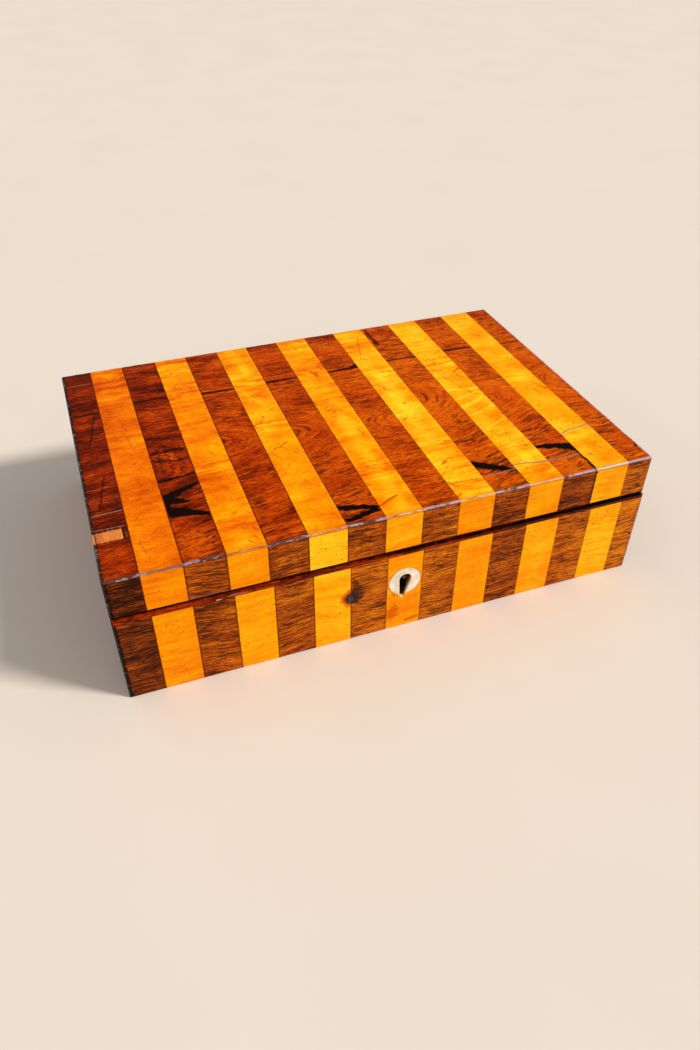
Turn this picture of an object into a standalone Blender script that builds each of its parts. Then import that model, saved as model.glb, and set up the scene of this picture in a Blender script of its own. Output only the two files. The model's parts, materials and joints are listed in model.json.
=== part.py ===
"""A small lap desk: a striped box that unfolds through half a turn into one sloping writing surface.

The lower half, called the base here, is tall at the keyhole side and low at the hinges. The lid is its
mirror image in height, so that the two rims form one slope when the lid lies on its top behind the base.
Each half keeps a storage well under a leather-covered flap, and the base holds a pen tray and an inkwell.

Metres, +Z up. The origin is the centre of the underside, the keyhole side faces -Y and +X is the right
hand of someone who faces the keyhole.
"""

import math

import bmesh
import bpy
from mathutils import Matrix, Vector

for old_object in list(bpy.data.objects):
    bpy.data.objects.remove(old_object, do_unlink=True)

# Outside of the case. The rims rise by rim_rise from the hinges' axis, at half the height, to the front.
case_width = 0.300
case_depth = 0.203
case_height = 0.080
rim_rise = 0.0155
lid_setback = 0.0012
parting_gap = 0.0010

# Boards, veneers and the bandings that face the rims. The base has the thicker one.
board_thickness = 0.0080
bottom_thickness = 0.0050
lid_board_thickness = 0.0050
veneer_thickness = 0.0012
base_banding_thickness = 0.0019
lid_banding_thickness = 0.0006
glue_line = 0.0003
arris_radius = 0.0010
arris_wall_share = 0.9
arris_segments = 3
overrun = 0.0020
same_place = 0.000001
axis_arrow = 0.0200
sharp_angle = math.radians(30)
round_profile_share = 0.5

# Dovetails at the corners of both halves
base_front_tail_count = 3
base_back_tail_count = 2
lid_front_tail_count = 1
lid_back_tail_count = 2
tail_root_share = 0.40
tail_end_share = 0.62

# Strips of the top and of the front. The end strips have widths of their own.
strip_count = 15
left_end_strip = 0.0174
right_end_strip = 0.0155
strip_joint = 0.0003
joint_groove_depth = 0.0004
base_strip_shift = 0.0014

# A chip of veneer is lost from the left edge of the top. A sliver of the strip stays beside the joint.
lost_chip_sliver = 0.0014
lost_chip_width = 0.0096
lost_chip_from_front = 0.0287

# Butt hinges in the back rims
hinge_offset = 0.0006
hinge_length = 0.0300
hinge_from_side = 0.0550
leaf_margin = 0.0021
leaf_thickness = 0.0012
knuckle_radius = 0.0022
knuckle_gap = 0.0003
middle_knuckle_length = 0.0110
hinge_pin_radius = 0.0009
hinge_pin_clearance = 0.0003
hinge_recess_clearance = 0.0004
hinge_screw_spacing = 0.0100
hinge_screw_from_edge = 0.0028
screw_head_radius = 0.0015
screw_shank_radius = 0.0008

# Writing flaps, which turn on pins beside the back rims
flap_thickness = 0.0050
flap_clearance = 0.0006
leather_thickness = 0.0008
leather_border = 0.0110
flap_pin_radius = 0.0010
flap_pin_clearance = 0.0003
flap_pin_in_board = 0.0045
flap_pin_in_flap = 0.0070
flap_pin_under_banding = 0.0004
finger_notch_radius = 0.0080
bearer_width = 0.0040

# Partitions of the base. The pen section along the front and the ink cells leave room for the inkwell.
pen_section_room = 0.0040
ink_cell_room = 0.0030
partition_thickness = 0.0030
partition_ledge = 0.0035
divider_thickness = 0.0030
divider_ledge = 0.0035

# Lift-out pen tray
tray_height = 0.0160
tray_clearance = 0.0004
trough_radius = 0.0135
trough_rise = 0.0020
trough_end_margin = 0.0060
trough_steps = 32
trough_end_steps = 6

# Square glass inkwell and its brass cap
inkwell_side = 0.0300
inkwell_height = 0.0280
inkwell_corner = 0.0030
inkwell_floor = 0.0035
inkwell_wall = 0.0045
inkwell_neck_radius = 0.0085
inkwell_neck_bore = 0.0065
inkwell_neck_height = 0.0050
cap_wall = 0.0012
cap_clearance = 0.0003
cap_top = 0.0022
cap_chamfer = 0.0012

# Box lock in the front of the base, and the link plate in the lid that it holds
lock_end_room = 0.0017
lock_depth = 0.0065
lock_height = 0.0310
lock_wall = 0.0007
selvedge_thickness = 0.0012
selvedge_ear = 0.0070
link_end = 0.0120
link_width = 0.0058
link_thickness = 0.0012
loop_spacing = 0.0240
loop_thickness = 0.0020
loop_width = 0.0038
loop_drop = 0.0075
loop_hole_width = 0.0024
loop_hole_height = 0.0027
loop_hole_drop = 0.0047
slot_side_clearance = 0.0006
slot_back_clearance = 0.0006
bolt_thickness = 0.0016
bolt_bar_drop = 0.0100
bolt_bar_height = 0.0030
bolt_finger_height = 0.0017
bolt_finger_length = 0.0050
bolt_post_width = 0.0020
bolt_finger_setback = 0.0006
bolt_rest_height = 0.0010
key_pin_radius = 0.0011
key_pin_length = 0.0074
key_under_bolt = 0.0050

# Bone escutcheon round the keyhole
escutcheon_radius = 0.0092
escutcheon_thickness = 0.0014
inlay_gap = 0.0002
keyhole_radius = 0.0031
keyhole_rise = 0.0026
keyhole_slot_radius = 0.0014
keyhole_slot_drop = 0.0120

# Faces and levels that follow from the sizes above
half_width = case_width / 2
base_front = -case_depth / 2
back = case_depth / 2
lid_front = base_front + lid_setback
axis_y = back + hinge_offset
axis_z = case_height / 2
rim_slope = rim_rise / (axis_y - base_front)
rim_angle = math.atan(rim_slope)
skin = veneer_thickness + glue_line
board_x = half_width - skin
inner_x = board_x - board_thickness
base_board_front = base_front + skin
lid_board_front = lid_front + skin
board_back = back - skin
base_inner_front = base_board_front + board_thickness
lid_inner_front = lid_board_front + board_thickness
inner_back = board_back - board_thickness
over_bottom = bottom_thickness + glue_line
under_strips = case_height - skin
lid_board_under = under_strips - lid_board_thickness
lid_wall_top = lid_board_under - glue_line
arris = min(arris_radius, veneer_thickness * arris_wall_share)
leaf_width = axis_y - inner_back - leaf_margin
knuckle_bore = hinge_pin_radius + hinge_pin_clearance
flap_pin_depth = base_banding_thickness + flap_pin_under_banding + flap_pin_radius
flap_sink = flap_pin_depth - flap_thickness / 2
bolt_reach = loop_spacing / 2 + loop_thickness / 2 + bolt_finger_setback + bolt_finger_length + bolt_post_width
lock_width = 2 * (bolt_reach + lock_end_room + lock_wall)
link_length = loop_spacing + 2 * link_end
pen_section_width = inkwell_side + pen_section_room
ink_cell_width = inkwell_side + ink_cell_room
circle_steps = 48
small_steps = 16


def parting(y):
    """Height of the plane where the lid leaves the base."""
    return axis_z + (axis_y - y) * rim_slope


def base_rim(y):
    return parting(y) - parting_gap / 2


def lid_rim(y):
    return parting(y) + parting_gap / 2


def under_banding(y):
    return base_rim(y) - base_banding_thickness - glue_line


def over_banding(y):
    return lid_rim(y) + lid_banding_thickness + glue_line


def level(height):
    """A top or bottom face that doesn't follow the slope of the rim."""
    return lambda y: height


# Finishes: colour, roughness and metallic value
finishes = {
    "rosewood": ((0.300, 0.070, 0.014), 0.24, 0.0),
    "dark_rosewood": ((0.120, 0.035, 0.012), 0.28, 0.0),
    "satinwood": ((0.820, 0.380, 0.025), 0.22, 0.0),
    "mahogany": ((0.330, 0.115, 0.045), 0.45, 0.0),
    "pine": ((0.640, 0.330, 0.140), 0.65, 0.0),
    "leather": ((0.020, 0.075, 0.045), 0.50, 0.0),
    "brass": ((0.700, 0.480, 0.190), 0.32, 1.0),
    "steel": ((0.320, 0.310, 0.300), 0.42, 1.0),
    "bone": ((0.830, 0.760, 0.600), 0.35, 0.0),
    "glass": ((0.560, 0.680, 0.640), 0.08, 0.0),
}


def finish(name):
    """The Principled material of this name, made the first time that it is asked for."""
    found = bpy.data.materials.get(name)
    if found:
        return found
    colour, roughness, metallic = finishes[name]
    material = bpy.data.materials.new(name)
    material.use_nodes = True
    shader = material.node_tree.nodes["Principled BSDF"]
    shader.inputs["Base Color"].default_value = (*colour, 1.0)
    shader.inputs["Roughness"].default_value = roughness
    shader.inputs["Metallic"].default_value = metallic
    material.diffuse_color = (*colour, 1.0)
    return material


def add_object(name, bm):
    bmesh.ops.recalc_face_normals(bm, faces=bm.faces)
    mesh = bpy.data.meshes.new(name)
    bm.to_mesh(mesh)
    bm.free()
    made = bpy.data.objects.new(name, mesh)
    bpy.context.collection.objects.link(made)
    return made


def carry(made, carrier):
    """Make an object ride on an empty, with its place kept as it is in the world."""
    made.parent = carrier
    made.matrix_parent_inverse = Matrix.Translation(carrier.location).inverted()


def piece(name, bm, finish_name, carrier=None, place=(0, 0, 0), tilt=0.0):
    """One sub-part. Its carrier is the empty on the axis that it turns or slides with."""
    made = add_object(name, bm)
    made.data.materials.append(finish(finish_name))
    made.data.shade_smooth()
    made.data.set_sharp_from_angle(angle=sharp_angle)
    made.location = place
    made.rotation_euler.x = tilt
    if carrier:
        carry(made, carrier)
    return made


def tool(name, bm, place=(0, 0, 0), tilt=0.0):
    """A shape that is only cut from sub-parts, or joined to one."""
    made = add_object(name, bm)
    made.location = place
    made.rotation_euler.x = tilt
    made.display_type = "WIRE"
    made.hide_render = True
    return made


def combine(target, other, operation):
    """Shape a piece with a tool, which then moves with the first piece that it shaped."""
    modifier = target.modifiers.new(f"{operation.lower()} {other.name}", "BOOLEAN")
    modifier.operation = operation
    modifier.solver = "EXACT"
    modifier.object = other
    if target.parent and not other.parent:
        carry(other, target.parent)


def cut(target, *tools):
    for other in tools:
        combine(target, other, "DIFFERENCE")


def fuse(target, *tools):
    for other in tools:
        combine(target, other, "UNION")


def axis_empty(name, place, carrier=None):
    made = bpy.data.objects.new(name, None)
    made.empty_display_type = "SINGLE_ARROW"
    made.empty_display_size = axis_arrow
    made.location = place
    bpy.context.collection.objects.link(made)
    if carrier:
        carry(made, carrier)
    return made


def add_prism(bm, outline, axis, low, high):
    """Extrude a closed outline along an axis. Its points are pairs in the other two axes, in XYZ order."""
    ends = []
    for along in (low, high):
        ring = []
        for first, second in outline:
            corner = {"x": (along, first, second), "y": (first, along, second), "z": (first, second, along)}
            ring.append(bm.verts.new(corner[axis]))
        ends.append(ring)
    bm.faces.new(ends[0])
    bm.faces.new(ends[1])
    for index in range(len(outline)):
        after = (index + 1) % len(outline)
        bm.faces.new((ends[0][index], ends[0][after], ends[1][after], ends[1][index]))


def prism(outline, axis, low, high):
    bm = bmesh.new()
    add_prism(bm, outline, axis, low, high)
    return bm


def box_outline(first, second):
    return [(first[0], second[0]), (first[1], second[0]), (first[1], second[1]), (first[0], second[1])]


def box(x, y, z):
    return prism(box_outline(y, z), "x", *x)


def sloped_outline(y, bottom, top):
    """A YZ outline whose bottom and top may follow the slope of the rim."""
    return [(y[0], bottom(y[0])), (y[1], bottom(y[1])), (y[1], top(y[1])), (y[0], top(y[0]))]


def slab(x, y, bottom, top):
    return prism(sloped_outline(y, bottom, top), "x", *x)


def circle(centre, radius, steps, start=0.0, turn=math.tau):
    """Points along an arc. A whole turn leaves out the last point, which is the first again."""
    whole = turn >= math.tau
    points = []
    for index in range(steps if whole else steps + 1):
        angle = start + turn * index / steps
        points.append((centre[0] + radius * math.cos(angle), centre[1] + radius * math.sin(angle)))
    return points


def add_lathe(bm, profile, axis, centre=(0, 0, 0), steps=small_steps, closed=False):
    """Turn a profile of (place along the axis, radius) pairs. A radius of zero makes a pole."""
    rings = []
    for along, radius in profile:
        if radius == 0:
            spots = [(0.0, 0.0)]
        else:
            spots = circle((0.0, 0.0), radius, steps)
        ring = []
        for first, second in spots:
            offset = {"x": (along, first, second), "y": (first, along, second), "z": (first, second, along)}
            ring.append(bm.verts.new(Vector(centre) + Vector(offset[axis])))
        rings.append(ring)
    pairs = list(zip(rings, rings[1:]))
    if closed:
        pairs.append((rings[-1], rings[0]))
    for ring, following in pairs:
        for index in range(steps):
            after = (index + 1) % steps
            corners = [ring[index % len(ring)], ring[after % len(ring)]]
            corners += [following[after % len(following)], following[index % len(following)]]
            face = list(dict.fromkeys(corners))
            if len(face) > 2:
                bm.faces.new(face)


def lathe(profile, axis, centre=(0, 0, 0), steps=small_steps, closed=False):
    bm = bmesh.new()
    add_lathe(bm, profile, axis, centre, steps, closed)
    return bm


def rod(axis, low, high, radius, centre=(0, 0, 0), steps=small_steps):
    return lathe([(low, 0), (low, radius), (high, radius), (high, 0)], axis, centre, steps)


def edges_at(bm, **where):
    """The edges whose two ends both lie at the given coordinates."""
    found = []
    for edge in bm.edges:
        gaps = [abs(getattr(end.co, name) - value) for end in edge.verts for name, value in where.items()]
        if max(gaps) < same_place:
            found.append(edge)
    return found


def round_edges(bm, edges, radius):
    bmesh.ops.bevel(bm, geom=edges, offset=radius, segments=arris_segments,
                    profile=round_profile_share, affect="EDGES")


# The axes that pieces move on
lid_axis = axis_empty("lid_axis", (0, axis_y, axis_z))
flap_pivot_y = inner_back - flap_clearance - flap_thickness / 2
flap_pivot_drop = (parting_gap / 2 + flap_sink + flap_thickness / 2) / math.cos(rim_angle)
base_flap_place = (0, flap_pivot_y, parting(flap_pivot_y) - flap_pivot_drop)
lid_flap_place = (0, flap_pivot_y, parting(flap_pivot_y) + flap_pivot_drop)
base_flap_axis = axis_empty("base_flap_axis", base_flap_place)
lid_flap_axis = axis_empty("lid_flap_axis", lid_flap_place, lid_axis)
tilt = -rim_angle

# Places along the top strips, then the same for the front of the base, which was laid a little to the right
inner_strip = (case_width - left_end_strip - right_end_strip) / (strip_count - 2)
strip_edges = [-half_width + left_end_strip + inner_strip * index for index in range(strip_count - 1)]
middle_strip = strip_count // 2
key_x = strip_edges[middle_strip - 1] + inner_strip / 2 + base_strip_shift


def hinge_recess(name, x, side):
    """The pocket for one leaf and its knuckles, in the back rim of the base (side -1) or lid (side 1)."""
    reach = knuckle_radius + hinge_recess_clearance
    depth = parting_gap / 2 + leaf_thickness + glue_line
    meeting = math.asin(depth / reach)
    arc = circle((0.0, 0.0), reach, small_steps, math.pi + meeting, math.pi / 2 - meeting)
    outline = [(-leaf_width - glue_line, -depth)] + arc + [(reach, -reach)]
    outline += [(reach, overrun), (-leaf_width - glue_line, overrun)]
    outline = [(y, -side * z) for y, z in outline]
    half_length = hinge_length / 2 + glue_line
    return tool(name, prism(outline, "x", -half_length, half_length), (x, axis_y, axis_z), tilt)


hinge_places = {"left": -half_width + hinge_from_side, "right": half_width - hinge_from_side}
base_hinge_recesses = [hinge_recess(f"recess_base_{name}", x, -1) for name, x in hinge_places.items()]
lid_hinge_recesses = [hinge_recess(f"recess_lid_{name}", x, 1) for name, x in hinge_places.items()]


def make_hinge(name, x):
    """A butt hinge: the base leaf has the outer knuckles, the lid leaf the middle one."""
    place = (x, axis_y, axis_z)
    half_length = hinge_length / 2
    half_middle = middle_knuckle_length / 2
    outer = (half_middle + knuckle_gap, half_length)
    own = {"base": [(-outer[1], -outer[0]), outer], "lid": [(-half_middle, half_middle)]}
    plate_edge = -knuckle_radius - knuckle_gap
    tab_start = -(knuckle_bore + knuckle_radius) / 2
    for half, spans in own.items():
        side = -1 if half == "base" else 1
        faces = sorted((side * parting_gap / 2, side * (parting_gap / 2 + leaf_thickness)))
        plate = box((-half_length, half_length), (-leaf_width, plate_edge), faces)
        carrier = lid_axis if half == "lid" else None
        leaf = piece(f"hinge_{name}_{half}_leaf", plate, "brass", carrier, place, tilt)
        tabs = bmesh.new()
        rings = bmesh.new()
        for low, high in spans:
            add_prism(tabs, box_outline((plate_edge - glue_line, tab_start), faces), "x", low, high)
            profile = [(low, knuckle_bore), (low, knuckle_radius), (high, knuckle_radius), (high, knuckle_bore)]
            add_lathe(rings, profile, "x", closed=True)
        fuse(leaf, tool(f"tabs_{name}_{half}", tabs, place, tilt))
        fuse(leaf, tool(f"knuckles_{name}_{half}", rings, place, tilt))
        screws = bmesh.new()
        inner_face = side * parting_gap / 2
        outer_face = side * (parting_gap / 2 + leaf_thickness)
        profile = [
            (inner_face - side * overrun, 0),
            (inner_face - side * overrun, screw_head_radius),
            (inner_face, screw_head_radius),
            (outer_face, screw_shank_radius),
            (outer_face + side * overrun, screw_shank_radius),
            (outer_face + side * overrun, 0),
        ]
        for step in (-1, 0, 1):
            spot = (step * hinge_screw_spacing, -leaf_width + hinge_screw_from_edge, 0)
            add_lathe(screws, profile, "z", spot)
        cut(leaf, tool(f"screws_{name}_{half}", screws, place, tilt))
    pin = rod("x", -half_length, half_length, hinge_pin_radius)
    piece(f"hinge_{name}_pin", pin, "brass", None, place, tilt)


def tail_heights(low, high, count):
    """Centre, half root and half end height of each dovetail between two levels."""
    pitch = (high - low) / count
    tails = []
    for index in range(count):
        tails.append((low + pitch * (index + 0.5), pitch * tail_root_share / 2, pitch * tail_end_share / 2))
    return tails


def side_board_outline(front, inner_front, bottom, top, tails):
    """YZ outline of a side board with dovetails at both ends. tails holds the front and the back ones."""
    start = inner_front + glue_line
    end = inner_back - glue_line
    outline = [(end, bottom(end)), (start, bottom(start))]
    for centre, root, tip in tails[0]:
        outline += [(start, centre - root), (front, centre - tip)]
        outline += [(front, centre + tip), (start, centre + root)]
    outline += [(start, top(start)), (end, top(end))]
    for centre, root, tip in reversed(tails[1]):
        outline += [(end, centre + root), (board_back, centre + tip)]
        outline += [(board_back, centre - tip), (end, centre - root)]
    return outline


def tail_sockets(name, y_root, y_end, tails):
    """The sockets for one end's tails, at both sides of the case, a glue line wider all round."""
    bm = bmesh.new()
    beyond = math.copysign(overrun, y_end - y_root)
    for side in (-1, 1):
        x = sorted((side * (inner_x - glue_line), side * (board_x + overrun)))
        for centre, root, tip in tails:
            flare = (tip - root) * overrun / abs(y_end - y_root)
            near = root - flare + glue_line
            far = tip + flare + glue_line
            outline = [(y_root - beyond, centre - near), (y_end + beyond, centre - far)]
            outline += [(y_end + beyond, centre + far), (y_root - beyond, centre + near)]
            add_prism(bm, outline, "x", *x)
    return tool(name, bm)


def make_walls(half, carrier, front_face, inner_front, bottom, top, counts, wood):
    """The four dovetailed boards of one half."""
    front_tails = tail_heights(bottom(front_face), top(inner_front), counts[0])
    back_tails = tail_heights(bottom(inner_back), top(board_back), counts[1])
    full = (-board_x, board_x)
    front_board = slab(full, (front_face, inner_front), bottom, top)
    back_board = slab(full, (inner_back, board_back), bottom, top)
    walls = {
        "front": piece(f"{half}_front_board", front_board, wood, carrier),
        "back": piece(f"{half}_back_board", back_board, wood, carrier),
    }
    start = inner_front + glue_line
    end = inner_back - glue_line
    cut(walls["front"], tail_sockets(f"sockets_{half}_front", start, front_face, front_tails))
    cut(walls["back"], tail_sockets(f"sockets_{half}_back", end, board_back, back_tails))
    outline = side_board_outline(front_face, inner_front, bottom, top, (front_tails, back_tails))
    for name, x in (("left", (-board_x, -inner_x)), ("right", (inner_x, board_x))):
        walls[name] = piece(f"{half}_{name}_board", prism(outline, "x", *x), wood, carrier)
    return walls


def make_side_veneers(half, carrier, front_face, bottom, top):
    """The veneers of the left, right and back of one half, which are plain rosewood."""
    y = (front_face + skin, back - skin)
    for name, x in (("left", (-half_width, veneer_thickness - half_width)),
                    ("right", (half_width - veneer_thickness, half_width))):
        piece(f"{half}_{name}_veneer", slab(x, y, bottom, top), "dark_rosewood", carrier)
    bm = slab((-half_width, half_width), (back - veneer_thickness, back), bottom, top)
    corners = edges_at(bm, x=-half_width, y=back) + edges_at(bm, x=half_width, y=back)
    round_edges(bm, corners, arris)
    return piece(f"{half}_back_veneer", bm, "dark_rosewood", carrier)


def make_front_veneer(half, carrier, front_face, bottom, top, shift):
    """The striped front of one half, with a groove at each joint between its strips."""
    bm = slab((-half_width, half_width), (front_face, front_face + veneer_thickness), bottom, top)
    corners = edges_at(bm, x=-half_width, y=front_face) + edges_at(bm, x=half_width, y=front_face)
    round_edges(bm, corners, arris)
    veneer = piece(f"{half}_front_veneer", bm, "satinwood", carrier)
    grooves = bmesh.new()
    y = (front_face - overrun, front_face + joint_groove_depth)
    z = (-overrun, case_height + overrun)
    for edge in strip_edges:
        x = (edge + shift - strip_joint / 2, edge + shift + strip_joint / 2)
        add_prism(grooves, box_outline(y, z), "x", *x)
    cut(veneer, tool(f"joints_{half}_front", grooves))
    return veneer


def make_banding(half, carrier, front_face, inner_front, bottom, top):
    """The rosewood banding that covers the rim of one half, as one mitred frame."""
    bm = bmesh.new()
    outer = [(-half_width, front_face), (half_width, front_face), (half_width, back), (-half_width, back)]
    inner = [(-inner_x, inner_front), (inner_x, inner_front), (inner_x, inner_back), (-inner_x, inner_back)]
    rings = []
    for corners, height in ((outer, bottom), (outer, top), (inner, top), (inner, bottom)):
        rings.append([bm.verts.new((x, y, height(y))) for x, y in corners])
    for index, ring in enumerate(rings):
        following = rings[(index + 1) % len(rings)]
        for corner in range(len(ring)):
            after = (corner + 1) % len(ring)
            bm.faces.new((ring[corner], ring[after], following[after], following[corner]))
    arrises = []
    for x, y in outer:
        arrises += edges_at(bm, x=x, y=y)
    round_edges(bm, arrises, arris)
    return piece(f"{half}_rim_banding", bm, "rosewood", carrier)


def make_top_strips():
    """The strips of the top, rosewood at both ends and every second one satinwood."""
    starts = [-half_width] + [edge + strip_joint / 2 for edge in strip_edges]
    ends = [edge - strip_joint / 2 for edge in strip_edges] + [half_width]
    strips = []
    for index, x in enumerate(zip(starts, ends)):
        bm = box(x, (lid_front, back), (case_height - veneer_thickness, case_height))
        arrises = edges_at(bm, y=lid_front, z=case_height) + edges_at(bm, y=back, z=case_height)
        for side in (-half_width, half_width):
            arrises += edges_at(bm, x=side, z=case_height)
            arrises += edges_at(bm, x=side, y=lid_front) + edges_at(bm, x=side, y=back)
        round_edges(bm, arrises, arris)
        wood = "satinwood" if index % 2 else "rosewood"
        strips.append(piece(f"top_strip_{index + 1:02d}", bm, wood, lid_axis))
    chip_y = (lid_front + lost_chip_from_front, lid_front + lost_chip_from_front + lost_chip_width)
    chip_x = (-half_width - overrun, strip_edges[0] - lost_chip_sliver)
    chip_z = (under_strips - overrun, case_height + overrun)
    cut(strips[0], tool("lost_chip", box(chip_x, chip_y, chip_z)))


def make_flap(half, carrier, place, end_y, leather_side):
    """A writing flap with a round back edge on its pivot, and the leather let into its writing side."""
    length = (flap_pivot_y - end_y) / math.cos(rim_angle)
    half_span = inner_x - flap_clearance
    half_thick = flap_thickness / 2
    outline = circle((0.0, 0.0), half_thick, small_steps, -math.pi / 2, math.pi)
    outline += [(-length, half_thick), (-length, -half_thick)]
    flap = piece(f"{half}_flap", prism(outline, "x", -half_span, half_span), "mahogany", carrier, place, tilt)
    writing_face = leather_side * half_thick
    floor = leather_side * (half_thick - leather_thickness - glue_line)
    recess_x = (leather_border - half_span, half_span - leather_border)
    recess_y = (leather_border - length, -leather_border)
    recess_z = sorted((floor, writing_face + leather_side * overrun))
    cut(flap, tool(f"leather_bed_{half}", box(recess_x, recess_y, recess_z), place, tilt))
    leather_x = (recess_x[0] + glue_line, recess_x[1] - glue_line)
    leather_y = (recess_y[0] + glue_line, recess_y[1] - glue_line)
    leather_z = sorted((writing_face, writing_face - leather_side * leather_thickness))
    piece(f"{half}_flap_leather", box(leather_x, leather_y, leather_z), "leather", carrier, place, tilt)
    notch = rod("z", -flap_thickness, flap_thickness, finger_notch_radius, (0, -length, 0), circle_steps)
    cut(flap, tool(f"notch_{half}", notch, place, tilt))
    return flap


def make_flap_pins(half, carrier, place, flap, walls):
    """The two pins that a flap turns on, and their holes in the flap and the side boards."""
    inside = inner_x - flap_clearance - flap_pin_in_flap
    outside = inner_x + flap_pin_in_board
    for name, side in (("left", -1), ("right", 1)):
        hole_radius = flap_pin_radius + flap_pin_clearance
        hole_x = sorted((side * inside, side * outside))
        hole = tool(f"pin_hole_{half}_{name}", rod("x", *hole_x, hole_radius), place, tilt)
        cut(flap, hole)
        cut(walls[name], hole)
        pin_x = sorted((side * (inside + glue_line), side * (outside - glue_line)))
        piece(f"{half}_flap_pin_{name}", rod("x", *pin_x, flap_pin_radius), "brass", carrier, place, tilt)


def make_partitions():
    """The long partition with the ledge that the base flap rests on, and the two ink dividers."""
    front = partition_front
    middle = front + partition_thickness
    rear = middle + partition_ledge
    top = divider_rim
    outline = [(front, over_bottom), (rear, over_bottom), (rear, flap_seat(rear)), (middle, flap_seat(middle))]
    outline += [(middle, top(middle)), (front, top(front))]
    piece("partition", prism(outline, "x", glue_line - inner_x, inner_x - glue_line), "mahogany")
    y = (base_inner_front + glue_line, front - glue_line)
    for name, side in (("left", -1), ("right", 1)):
        wall = divider_inner_x + divider_thickness
        ledge = divider_inner_x - divider_ledge
        outline = [(ledge, over_bottom), (wall, over_bottom), (wall, divider_top)]
        outline += [(divider_inner_x, divider_top), (divider_inner_x, tray_bottom - glue_line)]
        outline.append((ledge, tray_bottom - glue_line))
        outline = [(side * x, z) for x, z in outline]
        piece(f"ink_divider_{name}", prism(outline, "y", *y), "mahogany")


def make_pen_tray():
    """The pen tray lifts off the ledges of the dividers. One long trough with round ends holds the pens."""
    half_span = divider_inner_x - tray_clearance
    y = (base_inner_front + tray_clearance, partition_front - tray_clearance)
    bm = box((-half_span, half_span), y, (tray_bottom, divider_top))
    tray = piece("pen_tray", bm, "mahogany")
    straight = half_span - trough_end_margin - trough_radius
    profile = []
    for side in (-1, 1):
        arc = circle((side * straight, 0.0), trough_radius, trough_end_steps, math.pi / 2, math.pi / 2)
        if side > 0:
            arc = [(2 * straight - along, radius) for along, radius in arc]
        else:
            arc = list(reversed(arc))
        profile += arc
    profile[0] = (profile[0][0], 0)
    profile[-1] = (profile[-1][0], 0)
    centre = (0, sum(y) / 2, divider_top + trough_rise)
    cut(tray, tool("trough", lathe(profile, "x", centre, trough_steps)))


def make_inkwell():
    """A square glass bottle with a round neck, and the brass cap that lifts off it."""
    centre_x = inner_x - ink_cell_width / 2
    centre_y = (base_inner_front + partition_front) / 2
    half_side = inkwell_side / 2
    bottom = over_bottom
    shoulder = bottom + inkwell_height
    mouth = shoulder + inkwell_neck_height
    x = (centre_x - half_side, centre_x + half_side)
    y = (centre_y - half_side, centre_y + half_side)
    bm = box(x, y, (bottom, shoulder))
    corners = edges_at(bm, z=shoulder)
    for corner_x in x:
        for corner_y in y:
            corners += edges_at(bm, x=corner_x, y=corner_y)
    round_edges(bm, corners, inkwell_corner)
    bottle = piece("inkwell", bm, "glass")
    spot = (centre_x, centre_y, 0)
    fuse(bottle, tool("neck", rod("z", shoulder - overrun, mouth, inkwell_neck_radius, spot, circle_steps)))
    hollow = half_side - inkwell_wall
    profile = [
        (bottom + inkwell_floor, 0),
        (bottom + inkwell_floor, hollow),
        (shoulder - inkwell_floor, hollow),
        (shoulder - inkwell_floor, inkwell_neck_bore),
        (mouth + overrun, inkwell_neck_bore),
        (mouth + overrun, 0),
    ]
    cut(bottle, tool("ink_space", lathe(profile, "z", spot, circle_steps)))
    inner = inkwell_neck_radius + cap_clearance
    outer = inner + cap_wall
    top = mouth + glue_line + cap_top
    profile = [
        (mouth + glue_line, 0),
        (mouth + glue_line, inner),
        (shoulder + glue_line, inner),
        (shoulder + glue_line, outer),
        (top - cap_chamfer, outer),
        (top, outer - cap_chamfer),
        (top, 0),
    ]
    piece("inkwell_cap", lathe(profile, "z", spot, circle_steps), "brass")


def keyhole_outline():
    """XZ outline of the keyhole: a round head whose sides taper to a narrow round foot."""
    taper = math.asin((keyhole_radius - keyhole_slot_radius) / keyhole_slot_drop)
    head = circle((key_x, key_z), keyhole_radius, small_steps, -taper, math.pi + 2 * taper)
    foot_centre = (key_x, key_z - keyhole_slot_drop)
    foot = circle(foot_centre, keyhole_slot_radius, small_steps, math.pi + taper, math.pi - 2 * taper)
    return head + foot


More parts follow.
